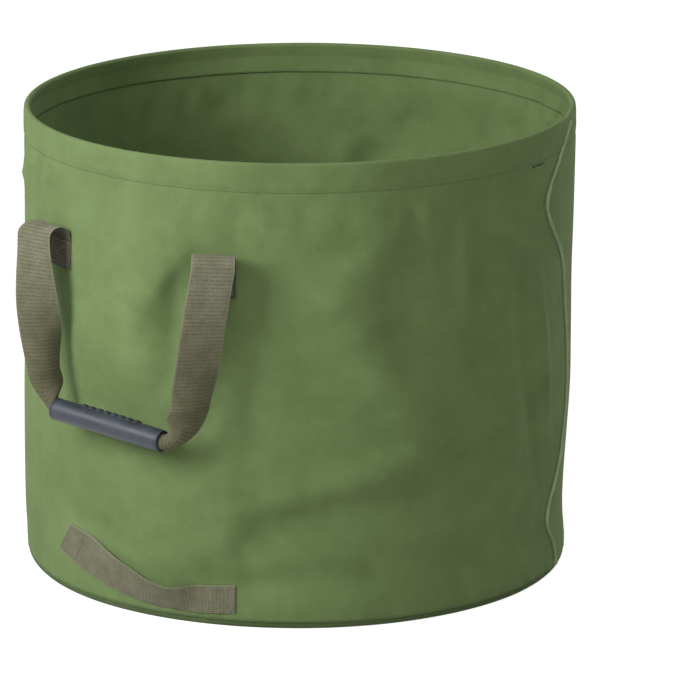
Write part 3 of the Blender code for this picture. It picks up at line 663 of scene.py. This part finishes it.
def new_piece(name, points, faces, material, uvs=None):
    mesh = bpy.data.meshes.new(name)
    mesh.from_pydata([tuple(p) for p in np.asarray(points).reshape(-1, 3)], [], [tuple(f) for f in faces])
    if uvs is not None:
        layer = mesh.uv_layers.new(name="cloth")
        corners = np.zeros(len(mesh.loops), np.int32)
        mesh.loops.foreach_get("vertex_index", corners)
        layer.data.foreach_set("uv", np.asarray(uvs, np.float32).reshape(-1, 2)[corners].ravel())
    mesh.materials.append(material)
    mesh.shade_smooth()
    piece = add_object(name, mesh)
    return piece


def attach(piece, body, node=None):
    """Let a piece ride on a body, and stand for a node where it has one."""
    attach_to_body(piece, body)
    if node:
        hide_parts(node)


def second_material(piece, material, where):
    """Give a piece's faces another material where an array over them is true."""
    piece.data.materials.append(material)
    piece.data.polygons.foreach_set("material_index", np.asarray(where).astype(np.int32))


def thicken(piece, thickness):
    solid = piece.modifiers.new("thickness", "SOLIDIFY")
    solid.thickness = thickness
    solid.offset = 0.0
    solid.use_even_offset = True


def grid_uvs(along, down):
    return np.stack(np.meshgrid(along, down, indexing="ij"), axis=-1)


def grid_piece(name, points, material, uvs, thickness, closed=False):
    rows, columns = points.shape[:2]
    piece = new_piece(name, points, grid_faces(rows, columns, closed), material, uvs)
    thicken(piece, thickness)
    return piece


def slab_piece(name, front, back, material, uvs):
    """Closed slab of webbing between two equal grids of points."""
    rows, columns = front.shape[:2]
    size = rows * columns
    face = grid_faces(rows, columns)
    border = list(range(columns))
    border += [r * columns + columns - 1 for r in range(1, rows)]
    border += [(rows - 1) * columns + c for c in range(columns - 2, -1, -1)]
    border += [r * columns for r in range(rows - 2, 0, -1)]
    faces = [tuple(f) for f in face] + [tuple(f[::-1] + size) for f in face]
    faces += [(b, a, a + size, b + size) for a, b in zip(border, border[1:] + border[:1])]
    points = np.concatenate([front.reshape(-1, 3), back.reshape(-1, 3)])
    both = np.concatenate([uvs.reshape(-1, 2), uvs.reshape(-1, 2)])
    return new_piece(name, points, faces, material, both)


def stitch_row(name, line, normals, material, length=0.0030, gap=0.0007, radius=0.00042):
    """Separate stitches laid end to end along a line of points on a surface."""
    run = np.concatenate([[0.0], np.cumsum(np.linalg.norm(np.diff(line, axis=0), axis=1))])
    count = max(1, int(run[-1] / (length + gap)))
    pitch_here = run[-1] / count
    stations = np.array([0.0, 0.10, 0.5, 0.90, 1.0])
    fatness = np.array([0.25, 0.80, 1.0, 0.80, 0.25])
    rise = ((fatness - 0.55) * radius - THREAD_SINK)[:, None]
    sides = 6
    turn = (np.arange(sides) * math.tau / sides)[None, :, None]
    ring = np.arange(sides)
    last = sides * (len(stations) - 1)
    walls = [f[::-1] for f in tube_faces(len(stations), sides)]
    pattern = [(f[3], f[0], f[1], f[2]) for f in walls] + [tuple(ring[::-1]), tuple(ring + last)]
    points = []
    faces = []
    for k in range(count):
        at = k * pitch_here + gap / 2 + stations * (pitch_here - gap)
        centre = np.stack([np.interp(at, run, line[:, j]) for j in range(3)], axis=1)
        up = np.stack([np.interp(at, run, normals[:, j]) for j in range(3)], axis=1)
        up /= np.linalg.norm(up, axis=1)[:, None]
        ahead = centre[-1] - centre[0]
        side = np.cross(ahead / np.linalg.norm(ahead), up)
        spokes = side[:, None] * np.cos(turn) * 1.15 + up[:, None] * np.sin(turn)
        points.append((centre + up * rise)[:, None] + spokes * (radius * fatness)[:, None, None])
        faces += [tuple(q + k * sides * len(stations) for q in face) for face in pattern]
    return new_piece(name, points, faces, material)


def sew(name, node, angle, height, lift, material, *sizes):
    """Stitches along a line on the outside of the wall."""
    seam = stitch_row(name, cloth_point(angle, height, lift), outward(angle), material, *sizes)
    attach(seam, "bag", node)


def straight_runs(corners, steps):
    """Even steps along straight lines from corner to corner, without the last corner."""
    line = []
    for (a, b), (c, d) in zip(corners, corners[1:]):
        line += [(a + (c - a) * k / steps, b + (d - b) * k / steps) for k in range(steps)]
    return line


# Canvas body
HEM_ROWS = 9
POCKET_ROWS = 13
FULL_TURN = 360


def bell(distance, width):
    return np.exp(-((distance / width) ** 2))


def wall_profile():
    """Radius step from the plain wall and height, down the middle of the canvas."""
    inner = CANVAS * 1.5 + TOUCH_GAP
    steps = [(-inner, h) for h in np.linspace(HEM_END, HOOP_HEIGHT - 0.012, HEM_ROWS)]
    hoop_step = HOOP_RADIUS - wall_radius(HOOP_HEIGHT)
    for turn in np.linspace(math.pi, 0.0, POCKET_ROWS):
        steps.append((hoop_step + HEM_POCKET * math.cos(turn), HOOP_HEIGHT + HEM_POCKET * math.sin(turn)))
    steps += [(-CANVAS / 2, h) for h in np.linspace(HOOP_HEIGHT - 0.004, WALL_FOOT, 150)]
    return np.array(steps).T


def lap_rise(past):
    """Rise of the outer end of the wall over its inner end, from degrees past the seam."""
    ramp = LAP_RAMP / DEGREE
    return (CANVAS + TOUCH_GAP) * smooth((past + ramp) / ramp)


def hem_relief(angle, height):
    """Grooves along the rows of sewing, small puckers by them and the hem's step."""
    hem = height - HEM_STITCH
    foot = height - BASE_STITCH
    pucker = 0.00035 * ripple(angle, height, 96, 90.0, 0.5) + 0.0004 * ripple(angle, height, 59, 40.0, 1.1)
    relief = -0.0007 * bell(hem, 0.0026) + 0.0005 * smooth(hem / 0.005) + pucker * bell(hem, 0.014)
    relief += -0.0007 * bell(foot, 0.0022)
    return relief + 0.0004 * ripple(angle, height, 83, 70.0, 2.0) * bell(foot, 0.012)


def build_wall():
    lap = SEAM_LAP / DEGREE
    turn = np.concatenate([
        np.linspace(0.0, 352.0, 580),
        np.linspace(352.4, 359.6, 16),
        np.linspace(359.7, 360.0 + lap, 24),
    ])
    step, height = wall_profile()
    t, h = np.meshgrid(turn, height, indexing="ij")
    near = np.where(t > 180.0, 360.0 - t, t)
    angle = SEAM_ANGLE + t + seam_shift(h) * smooth(1.0 - np.clip(near, 0.0, 60.0) / 60.0)
    rise = lap_rise(t - 360.0)
    row = np.broadcast_to(np.arange(len(height)), t.shape)
    relief = np.where(row >= HEM_ROWS + POCKET_ROWS, hem_relief(angle, h), 0.0)
    radius = wall_radius(h) + step + swell(angle, h) + rise + relief
    pocket = (row >= HEM_ROWS) & (row < HEM_ROWS + POCKET_ROWS)
    radius = np.where(pocket, wall_radius(HOOP_HEIGHT) + step + rise, radius)
    down = np.concatenate([[0.0], np.cumsum(np.hypot(np.diff(step), np.diff(height)))])
    uvs = grid_uvs(turn * DEGREE, down)
    wall = grid_piece("canvas_wall", around(radius, angle, h), canvas, uvs, CANVAS)
    attach(wall, "bag", "wall_panel")


def build_base():
    """Round bottom with its corner and the margin turned up inside the wall."""
    angle = np.linspace(0.0, 360.0, FULL_TURN, endpoint=False)
    inset = 1.5 * CANVAS + TOUCH_GAP
    reach = BASE_CORNER - CANVAS / 2
    rows = [(-inset, h) for h in np.linspace(WALL_FOOT + BASE_MARGIN, BASE_CORNER, 8)]
    for turn in np.radians(np.linspace(0.0, 90.0, 8)[1:]):
        rows.append((-inset - reach * (1 - math.cos(turn)), BASE_CORNER - reach * math.sin(turn)))
    grid = []
    for step, height in rows:
        h = np.full(FULL_TURN, height)
        grid.append(around(wall_radius(h) + step + swell(angle, np.maximum(h, WALL_FOOT)), angle, h))
    rim = grid[-1]
    rings = 26
    for ring in range(1, rings + 1):
        share = 1.0 - ring / (rings + 1)
        flat = rim.copy()
        flat[:, :2] *= share
        level = np.full(FULL_TURN, share * 0.3)
        wave = 0.0016 * (1 - share**6) * (1 + ripple(angle, level, 5, 17.0, 0.4))
        wave += 0.0006 * (1 - share**6) * (1 + ripple(angle, level, 13, 43.0, 2.4))
        flat[:, 2] = CANVAS / 2 + wave * smooth((1.0 - share) / 0.06)
        grid.append(flat)
    grid = np.array(grid)
    points = np.concatenate([grid.reshape(-1, 3), grid[-1].mean(axis=0)[None]])
    faces = tube_faces(len(grid), FULL_TURN)
    last = (len(grid) - 1) * FULL_TURN
    faces += [(last + k, len(points) - 1, last + (k + 1) % FULL_TURN) for k in range(FULL_TURN)]
    base = new_piece("canvas_base", points, faces, shade_painted_base_canvas, points[:, :2] + 0.5)
    # Margin and corner rows keep the darker canvas, painted shade along the foot; the flat rows take the
    # plain canvas
    second_material(base, canvas, np.arange(len(faces)) >= len(rows) * FULL_TURN)
    thicken(base, CANVAS)
    attach(base, "bag", "base_panel")


def build_tape():
    """Flat tape over the edge of the base margin, with its two rows of stitches."""
    angle = np.linspace(0.0, 360.0, FULL_TURN, endpoint=False)
    face = -2 * CANVAS - 2 * TOUCH_GAP
    rows = []
    for height in np.linspace(TAPE_LOW, TAPE_HIGH, 7):
        h = np.full(FULL_TURN, height)
        pucker = 0.0003 * np.abs(ripple(angle, h, 61, 30.0, 0.8))
        rows.append(cloth_point(angle, h, face - TAPE_THICKNESS / 2 - pucker))
    points = np.array(rows).transpose(1, 0, 2)
    uvs = grid_uvs(angle * DEGREE, np.linspace(0, TAPE_HIGH - TAPE_LOW, 7))
    tape = grid_piece("base_binding", points, tape_cloth, uvs, TAPE_THICKNESS, closed=True)
    attach(tape, "bag", "base_tape")
    angle = np.append(angle, 360.0)
    for number, height in enumerate((TAPE_LOW + 0.003, TAPE_HIGH - 0.003)):
        ring = cloth_point(angle, np.full(angle.shape, height), face - TAPE_THICKNESS - 0.0002)
        name = "tape_stitches_%d" % (number + 1)
        attach(stitch_row(name, ring, -outward(angle), green_thread, 0.0034, 0.0010), "bag")


def seam_angle_at(height, past):
    return SEAM_ANGLE + seam_shift(height) + past


def build_wall_stitching():
    """Rows round the hem and the foot, and the two rows up the side seam."""
    lap = SEAM_LAP / DEGREE
    angle = np.linspace(SEAM_ANGLE + lap, SEAM_ANGLE + 360.0 + lap, 1400)
    for name, node, level, material in (
        ("hem_stitches", "hem_stitching", HEM_STITCH, hem_thread),
        ("foot_stitches", "base_stitching", BASE_STITCH, green_thread),
    ):
        h = np.full(angle.shape, level)
        lift = hem_relief(angle, h) + THREAD_LIFT + lap_rise(angle - SEAM_ANGLE - 360.0 - seam_shift(h))
        sew(name, node, angle, h, lift, material, 0.0031, 0.0014)
    h = np.linspace(BASE_STITCH + 0.005, HEM_STITCH - 0.005, 260)
    for number, inset, node in ((1, 0.0020, "side_seam_stitching"), (2, 0.0068, None)):
        a = seam_angle_at(h, inset / DEGREE)
        sew("side_seam_stitches_%d" % number, node, a, h, CANVAS + TOUCH_GAP + THREAD_LIFT, green_thread)


def build_seam_edge():
    """The side seam's outer edge, folded under: a narrow roll from the rim to the foot, pale with painted
    highlight.
    """
    lap = (SEAM_LAP - 0.0016) / DEGREE
    h = np.linspace(HOOP_HEIGHT - 0.001, WALL_FOOT + 0.001, 420)
    top = np.linspace(-1.0, 1.0, 15)
    across = np.concatenate([top, [0.5, -0.5]])
    rise = np.concatenate([bell(top, 0.46), [0.0, 0.0]])
    sides = len(across)
    size = SEAM_ROLL * (1 + 0.10 * np.sin(h * 190.0) + 0.07 * np.sin(h * 423.0 + 1.0))
    size = (size * (0.80 + 0.20 * smooth((HEM_STITCH - h) / 0.02)))[:, None]
    hh, ss = np.meshgrid(h, across, indexing="ij")
    a = seam_angle_at(hh, lap) + size * ss / DEGREE
    lift = CANVAS + 0.0005 * smooth((hh - HEM_STITCH) / 0.004) + size * rise * 0.95
    lift[:, len(top):] = TOUCH_GAP + CANVAS * 0.6
    faces = tube_faces(len(h), sides)
    faces.append(tuple(range(sides)))
    faces.append(tuple((len(h) - 1) * sides + q for q in range(sides))[::-1])
    uvs = np.stack([ss * SEAM_ROLL, hh], axis=-1)
    edge = new_piece("side_seam_edge", cloth_point(a, hh, lift), faces, highlight_painted_canvas, uvs)
    attach(edge, "bag")


def build_bar_tack():
    """Dense zigzag bar beside the side seam, where the hoop goes into the hem."""
    reach = BAR_TACK_LENGTH / 2 / DEGREE
    a = np.linspace(BAR_TACK_ANGLE - reach, BAR_TACK_ANGLE + reach, 45)
    h = np.full(a.shape, HEM_STITCH - 0.0035)
    h[::2] -= 0.0011
    h[1::2] += 0.0011
    sew("hem_tack", "hem_bar_tack", a, h, hem_relief(a, h) + 0.0003, dark_thread, 0.0022, 0.0001, 0.0003)


# Webbing
UP = Vector((0, 0, 1))


def handle_point(across, out, height):
    return Vector((across, -out, height))


def facing_side(facing):
    turn = math.radians(facing)
    return handle_point(math.cos(turn), -math.sin(turn), 0.0)


def facing_normal(facing):
    turn = math.radians(facing)
    return handle_point(math.sin(turn), math.cos(turn), 0.0)


def grip_axis():
    slope = math.radians(GRIP_SLOPE)
    return Vector((math.cos(slope), 0, -math.sin(slope)))


def tab_middle(hand, height):
    """Middle of a sewn end's webbing at its top, raised to a height."""
    radius = wall_radius(TAB_TOP) + TOUCH_GAP + WEBBING_THICKNESS / 2
    turn = math.radians(TAB_ANGLE)
    return handle_point(hand * radius * math.sin(turn), radius * math.cos(turn), height)


def fold_path(hand, arm, steps):
    """Rows (middle, side, width, normal, roll) over the bend of one arm."""
    tab = hand * TAB_ANGLE
    base = tab_middle(hand, TAB_TOP + FOLD_RISE)
    start = base - UP * (FOLD_RISE - TOUCH_GAP)
    rows = [(start, facing_side(tab), WEBBING_WIDTH, facing_normal(tab), 0.0)]
    for step in range(steps + 1):
        turn = math.pi * step / steps
        share = (1 - math.cos(turn)) / 2
        facing = tab + (arm.top - tab) * share
        centre = base + facing_normal(arm.away) * 2 * FOLD_RADIUS * share + handle_point(*arm.lean) * share
        centre += UP * FOLD_RADIUS * math.sin(turn)
        normal = facing_normal(facing) * math.cos(turn) - UP * math.sin(turn)
        rows.append((centre, facing_side(facing), WEBBING_WIDTH, normal, 0.0))
    return rows


def set_in(share, start):
    """Eases from 0 at a start to 1 at a share of 1."""
    return smooth((share - start) / (1.0 - start))


def arm_path(hand, arm):
    """Rows of one arm from its bend down to the middle of the grip, curled up as it goes in."""
    top = fold_path(hand, arm, 8)[-1][0]
    mouth = handle_point(*GRIP_CENTRE) + grip_axis() * hand * GRIP_LENGTH / 2
    foot = mouth + Vector((hand * arm.past, 0, arm.over))
    core_radius = WEBBING_WIDTH / CORE_CURL
    rows = []
    steps = 18
    for step in range(steps + 1):
        share = step / steps
        facing = arm.top + (arm.foot - arm.top) * share + arm.twist * set_in(share, arm.twist_start)
        bow = handle_point(*arm.bow) * math.sin(math.pi * share) * (1.15 - 0.3 * share)
        curl = arm.curl * set_in(share, arm.curl_start)
        centre = top.lerp(foot, share) + bow
        rows.append((centre, facing_side(facing), WEBBING_WIDTH, facing_normal(facing), curl))
    corner = mouth + grip_axis() * hand * arm.past * arm.throat
    steps = 14
    for step in range(1, steps + 1):
        share = step / steps
        facing = (arm.foot + arm.twist) * (1 - share)
        centre = foot.lerp(corner, share).lerp(corner.lerp(mouth, share), share)
        centre += facing_normal(facing) * core_radius * smooth(share)
        roll = math.radians(90.0 + hand * GRIP_SLOPE) * smooth(share)
        side = facing_side(facing) * math.cos(roll) - UP * hand * math.sin(roll)
        curl = arm.curl + (CORE_CURL - arm.curl) * smooth(share * 1.1)
        rows.append((centre, side, WEBBING_WIDTH, facing_normal(facing), curl))
    side = UP * -hand
    side = (side - grip_axis() * side.dot(grip_axis())).normalized()
    for share in (0.2, 0.5, 0.8, 0.995):
        centre = mouth.lerp(handle_point(*GRIP_CENTRE), share) + facing_normal(0.0) * core_radius
        rows.append((centre, side, WEBBING_WIDTH, facing_normal(0.0), CORE_CURL))
    return rows


def resample(rows, spacing):
    """Rows at an even spacing along their middle, on a smooth curve through the given ones."""
    columns = [np.array([np.ravel(value) for value in column], float) for column in zip(*rows)]
    run = np.concatenate([[0.0], np.cumsum(np.linalg.norm(np.diff(columns[0], axis=0), axis=1))])
    at = np.linspace(0.0, run[-1], max(2, int(round(run[-1] / spacing)) + 1))
    k = np.clip(np.searchsorted(run, at, side="right") - 1, 0, len(run) - 2)
    size = (run[k + 1] - run[k])[:, None]
    s = (at - run[k])[:, None] / size

    def curve(values):
        slopes = np.gradient(values, run, axis=0)
        a = (2 * s**3 - 3 * s**2 + 1) * values[k] + (s**3 - 2 * s**2 + s) * size * slopes[k]
        return a + (-2 * s**3 + 3 * s**2) * values[k + 1] + (s**3 - s**2) * size * slopes[k + 1]

    centre, side, width, normal, roll = (curve(values) for values in columns)
    side /= np.linalg.norm(side, axis=1)[:, None]
    normal -= side * (normal * side).sum(axis=1)[:, None]
    normal /= np.linalg.norm(normal, axis=1)[:, None]
    return centre, side, width, normal, roll, at


def shares_across(kind):
    """Places across a webbing, from -0.5 to 0.5, closer together at its edges."""
    return np.sin(np.linspace(-math.pi / 2, math.pi / 2, kind.columns)) / 2


def half_thickness(kind, share):
    """Half the webbing's thickness, rounded off at its selvedges."""
    return kind.thickness / 2 * np.sqrt(np.clip(1 - (2 * share) ** 8, 0.03, 1.0))


def ribs(rise, v):
    return rise * np.cos(math.tau * v / RIB_PITCH)


def webbing_uvs(kind, share, v):
    return np.stack(np.broadcast_arrays((share + 0.5) * kind.width, v), axis=-1)


def webbing_piece(name, kind, rows, run_start=0.0, turn=0.0, inner=None):
    """Slab of ribbed webbing through rows, with rounded selvedges and its ribs in relief."""
    centre, side, width, normal, roll, run = resample(rows, RIB_PITCH / 8)
    share = shares_across(kind)[None, :]
    curl = np.maximum(np.abs(roll), 1e-4)
    phi = share * curl
    across = width / curl * np.sin(phi)
    v = (run + run_start)[:, None]
    depth = width / curl * (1 - np.cos(phi)) + 0.0004 * np.sin(v * 61.0) * np.sin(share * width * 90.0)
    side, normal = side[:, None, :], normal[:, None, :]
    middle = centre[:, None, :] + side * across[..., None] - normal * depth[..., None]
    facing = side * np.sin(phi)[..., None] + normal * np.cos(phi)[..., None]
    step = facing * (half_thickness(kind, share) + ribs(RIB_RISE, v))[..., None]
    spin = np.array(Matrix.Rotation(math.radians(turn), 3, "Z")).T
    uvs = webbing_uvs(kind, share, v)
    piece = slab_piece(name, (middle + step) @ spin, (middle - step) @ spin, kind.material, uvs)
    piece.data.set_sharp_from_angle(angle=math.radians(55))
    # The front faces take the darker webbing that paints the shade inside the loop
    if inner is not None:
        front_faces = (len(v) - 1) * (kind.columns - 1)
        second_material(piece, inner, np.arange(len(piece.data.polygons)) < front_faces)
    return piece, run[-1] + run_start


def laid_webbing(name, node, kind, material, angle, height, share, v, rise):
    """Slab of webbing that lies on the dented wall, at a grid of angles and heights."""
    middle = TOUCH_GAP + kind.thickness / 2
    half = half_thickness(kind, share)
    front = cloth_point(angle, height, middle + half + ribs(rise, v))
    back = cloth_point(angle, height, middle - half)
    attach(slab_piece(name, front, back, material, webbing_uvs(kind, share, v)), "bag", node)


def tab_piece(name, angle, node, stitch_node):
    """A carry handle's sewn end, with its box and cross of stitches."""
    reach = WEBBING_WIDTH / DEGREE
    height = np.arange(TAB_LOW, TAB_TOP + 1e-6, RIB_PITCH / 8)
    h, s = np.meshgrid(height, shares_across(CARRY), indexing="ij")
    # The sewn end is in the darker webbing that paints the shade under the loop
    laid_webbing(name, node, CARRY, shade_painted_webbing, angle + reach * s, h, s, h - TAB_TOP, RIB_RISE)
    inset = 0.004
    low, high = TAB_LOW + inset, TAB_TOP - inset
    side = 0.5 - inset / WEBBING_WIDTH
    left_low, right_low, right_high, left_high = (-side, low), (side, low), (side, high), (-side, high)
    route = [left_low, right_low, right_high, left_high, left_low, right_high, right_low, left_high]
    s, h = np.array(straight_runs(route, 24)).T
    sew(name + "_stitches", stitch_node, angle + reach * s, h, TOUCH_GAP + WEBBING_THICKNESS + 0.0002,
        olive_thread, 0.0026, 0.0005)


def swell_at(angle, height):
    return float(swell(np.array([angle]), np.array([height]))[0])


def build_carry_handle(side, turn):
    spin = Matrix.Rotation(math.radians(turn), 3, "Z")
    for hand, word in ((-1, "left"), (1, "right")):
        arm = ARMS[hand]
        tab = "%s_tab_%s" % (side, word)
        tab_piece("%s_sewn_end_%s" % (side, word), turn + hand * TAB_ANGLE, tab, tab + "_stitching")
        sunk = facing_normal(hand * TAB_ANGLE) * swell_at(turn + hand * TAB_ANGLE, TAB_TOP)
        rows = []
        for k, row in enumerate(fold_path(hand, arm, 24)):
            rows.append((row[0] + sunk * max(0.0, 1.0 - k / 20.0), *row[1:]))
        bend, run = webbing_piece("%s_bend_%s" % (side, word), CARRY, rows, 0.0, turn, shade_painted_webbing)
        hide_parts("%s_fold_%s" % (side, word))
        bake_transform(bend)
        piece, _ = webbing_piece("%s_arm_%s" % (side, word), CARRY, arm_path(hand, arm), run, turn)
        attach(piece, side + "_handle", side + "_strap")
    build_grip(side, spin)


def build_grip(side, spin):
    """Moulded tube with rounded ends, a dark end ring and a row of finger bumps."""
    half = GRIP_LENGTH / 2
    count = 96
    end = [(half - inset, GRIP_RADIUS - step) for inset, step in GRIP_END]
    profile = [(-half, GRIP_BORE_RADIUS)] + [(-x, r) for x, r in end]
    profile += [(x, GRIP_RADIUS) for x in np.linspace(-half + 0.0046, half - 0.0046, 260)]
    profile += end[::-1] + [(half, GRIP_BORE_RADIUS)]
    rows = len(profile)
    x, r = np.array(profile).T
    xx, th = np.meshgrid(x, np.arange(count) * math.tau / count, indexing="ij")
    rr = np.tile(r[:, None], (1, count))
    arc = (th - math.radians(BUMP_TILT) + math.pi) % math.tau - math.pi
    for number in range(BUMP_COUNT):
        middle = (number - (BUMP_COUNT - 1) / 2) * BUMP_PITCH
        away = ((xx - middle) / BUMP_SIZE[0]) ** 2 + (arc * GRIP_RADIUS / BUMP_SIZE[1]) ** 2
        bump = BUMP_RISE * np.sqrt(np.clip(1 - away, 0.0, 1.0))
        rr = rr + np.where(rr > GRIP_BORE_RADIUS + 0.0015, bump, 0.0)
    local = np.stack([xx, rr * np.sin(th), rr * np.cos(th)], axis=-1)
    turned = np.array(spin @ Matrix.Rotation(math.radians(GRIP_SLOPE), 3, "Y"))
    points = local @ turned.T + np.array(spin @ handle_point(*GRIP_CENTRE))
    faces = tube_faces(rows, count, closed=True)
    grip = new_piece(side + "_moulded_grip", points, faces, grip_plastic)
    grip.data.set_sharp_from_angle(angle=math.radians(50))
    second_material(grip, grip_end, np.repeat([k < 2 or k >= rows - 3 for k in range(rows)], count))
    attach(grip, side + "_grip_body", side + "_grip")


# Low grab strap

def lower_place(angle):
    """Height, width, tilt and lean of the low strap's middle at an angle round the bag."""
    table = np.array(LOWER_ROUTE)
    return tuple(float(np.interp(angle, table[:, 0], table[:, k])) for k in (1, 2, 3, 4))


def lower_row(angle):
    """Row (middle, side, width, normal, roll) of the low strap at an angle round the bag."""
    height, width, tilt, lean = lower_place(angle)
    tip = math.radians(tilt)
    lift = math.radians(lean)
    along = round_point(1.0, angle + 90.0, 0.0)
    upright = UP * math.cos(lift) + round_point(1.0, angle, 0.0) * math.sin(lift)
    side = along * math.sin(tip) + upright * math.cos(tip)
    stand = TOUCH_GAP + LOWER_THICKNESS / 2 + width / 2 * math.sin(lift)
    stand += swell_at(angle, height - width * 0.4)
    middle = round_point(wall_radius(height) + stand, angle, height)
    return middle, side, width, along.cross(side).normalized(), 0.0


def settle(piece):
    """Lay the low strap on the dented wall towards its sewn ends."""
    points = np.zeros(len(piece.data.vertices) * 3)
    piece.data.vertices.foreach_get("co", points)
    points = points.reshape(2, -1, LOW.columns, 3)
    x, y, height = np.moveaxis(points.mean(axis=0), -1, 0)
    angle = np.degrees(np.arctan2(x, -y))
    radius = np.hypot(x, y)
    laid = wall_radius(height) + swell(angle, height) + TOUCH_GAP + LOWER_THICKNESS / 2
    row = angle.mean(axis=1)
    left, right = ((row - free) / (laid_from - free) for free, laid_from in LAID_DOWN)
    share = np.maximum(smooth(left), smooth(right))[:, None]
    step = (laid - radius) * share
    points[..., 0] += step * x / radius
    points[..., 1] += step * y / radius
    piece.data.vertices.foreach_set("co", points.ravel())
    piece.data.update()


def build_lower_strap():
    run = lower_end("low_sewn_end_left", -19.2, -13.0, "lower_tab_left", 0.0)
    for name, start, end, node in (
        ("low_bend_left", -13.0, -2.5, "lower_fold_left"),
        ("low_strap", -2.5, 14.0, "lower_strap"),
        ("low_bend_right", 14.0, 18.3, "lower_fold_right"),
    ):
        rows = [lower_row(a) for a in np.linspace(start, end, 3 + int((end - start) * 1.5))]
        piece, run = webbing_piece(name, LOW, rows, run)
        settle(piece)
        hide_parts(node)
        if name == "low_strap":
            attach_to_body(piece, "lower_handle")
        else:
            fixed, free = (start, end) if name == "low_bend_left" else (end, start)
            lower_row(fixed)[0]
            lower_row(free)[0]
            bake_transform(piece)
    lower_end("low_sewn_end_right", 18.3, 24.2, "lower_tab_right", run)


def sewn_place(angle, share):
    """Angle and height of a sewn end's point, at a share of the width from its middle."""
    height, width, tilt, _ = lower_place(angle)
    tip = math.radians(tilt)
    step = width * share * math.sin(tip) / DEGREE
    return angle + step, height + width * share * math.cos(tip)


def lower_end(name, start, end, node, run):
    """A sewn end of the low strap, with its box of stitches; returns the length so far."""
    share = shares_across(LOW)
    length = (end - start) * DEGREE
    count = int(round(length / (RIB_PITCH / 8))) + 1
    place = np.array([[sewn_place(a, s) for s in share] for a in np.linspace(start, end, count)])
    v = (run + np.linspace(0.0, length, count))[:, None]
    laid_webbing(name, node, LOW, low_webbing, place[..., 0], place[..., 1], share[None, :], v, SEWN_RIB_RISE)
    inset = 0.004
    edge = 0.5 - inset / LOWER_WIDTH
    first, last = start + inset / DEGREE, end - inset / DEGREE
    corners = [(first, -edge), (last, -edge), (last, edge), (first, edge), (first, -edge)]
    a, h = np.array([sewn_place(*point) for point in straight_runs(corners, 20)]).T
    thread = pale_thread if start > 0 else low_thread
    sew(name + "_stitches", node + "_stitching", a, h, TOUCH_GAP + LOWER_THICKNESS + 0.0002, thread,
        0.0022, 0.0009, 0.0003)
    return run + length


# Floor, light and camera
WORLD_LIGHT = 0.268


def build_floor():
    size = 40.0
    mesh = bpy.data.meshes.new("floor")
    corners = [(-size, -size, 0), (size, -size, 0), (size, size, 0), (-size, size, 0)]
    mesh.from_pydata(corners, [], [(0, 1, 2, 3)])
    floor = add_object("floor", mesh)
    g = Graph(bpy.data.materials.new("floor"))
    g.nodes.clear()
    matt = g.nodes.new("ShaderNodeBsdfDiffuse")
    matt.inputs["Color"].default_value = (0.60, 0.60, 0.60, 1.0)
    glow = g.nodes.new("ShaderNodeEmission")
    g.wire(g.math("MULTIPLY", g.backdrop_rays(), 0.86), glow.inputs["Strength"])
    both = g.nodes.new("ShaderNodeAddShader")
    g.links.new(matt.outputs[0], both.inputs[0])
    g.links.new(glow.outputs[0], both.inputs[1])
    g.links.new(both.outputs[0], g.nodes.new("ShaderNodeOutputMaterial").inputs["Surface"])
    mesh.materials.append(g.owner)


def build_world():
    world = bpy.data.worlds.new("studio")
    bpy.context.scene.world = world
    g = Graph(world)
    g.nodes.clear()
    seen = g.backdrop_rays()
    sky = g.nodes.new("ShaderNodeBackground")
    g.wire(g.mix(seen, (0.95, 1.0, 0.88), (1.0, 1.0, 1.0)), sky.inputs["Color"])
    g.wire(g.spread(seen, 0.0, 1.0, WORLD_LIGHT, 1.0), sky.inputs["Strength"])
    g.links.new(sky.outputs[0], g.nodes.new("ShaderNodeOutputWorld").inputs["Surface"])


def area_light(name, place, size, power, aim=(0.0, 0.0, 0.28), colour=(1.0, 1.0, 1.0)):
    """Square lamp, placed as seen from the camera: right, away from it and up."""
    lamp = bpy.data.lights.new(name, "AREA")
    lamp.shape = "SQUARE"
    lamp.size = size
    lamp.energy = power
    lamp.color = colour
    item = add_object(name, lamp)
    item.location = camera_turn @ Vector(place)
    item.rotation_mode = "QUATERNION"
    item.rotation_quaternion = (Vector(aim) - item.location).to_track_quat("-Z", "Y")


def build_camera():
    camera = bpy.data.cameras.new("camera")
    camera.sensor_width = SENSOR
    camera.lens = FOCAL_PIXELS * SENSOR / PHOTO_SIZE
    camera.clip_start = 0.1
    camera.clip_end = 200.0
    item = add_object("camera", camera)
    item.location = camera_place
    basis = Matrix((camera_right, camera_up, -camera_forward)).transposed()
    item.rotation_mode = "QUATERNION"
    item.rotation_quaternion = basis.to_quaternion()
    bpy.context.scene.camera = item


for node in ("rim_hoop", "hoop_joiner"):
    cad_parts[node].data.materials.clear()
    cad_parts[node].data.materials.append(spring_steel)
build_wall()
build_base()
build_tape()
build_wall_stitching()
build_seam_edge()
build_bar_tack()
build_carry_handle("front", 0.0)
build_carry_handle("rear", 180.0)
build_lower_strap()
build_floor()
build_world()
area_light("key", (-1.602, -1.021, 1.35), 0.9, 32.0, colour=(0.98, 1.0, 1.0))
area_light("front", (0.08, -1.828, 1.60), 1.2, 7.5)
area_light("right_back", (2.43, 2.65, 1.3), 1.4, 14.0)
build_camera()

bpy.context.scene.view_settings.view_transform = "Standard"
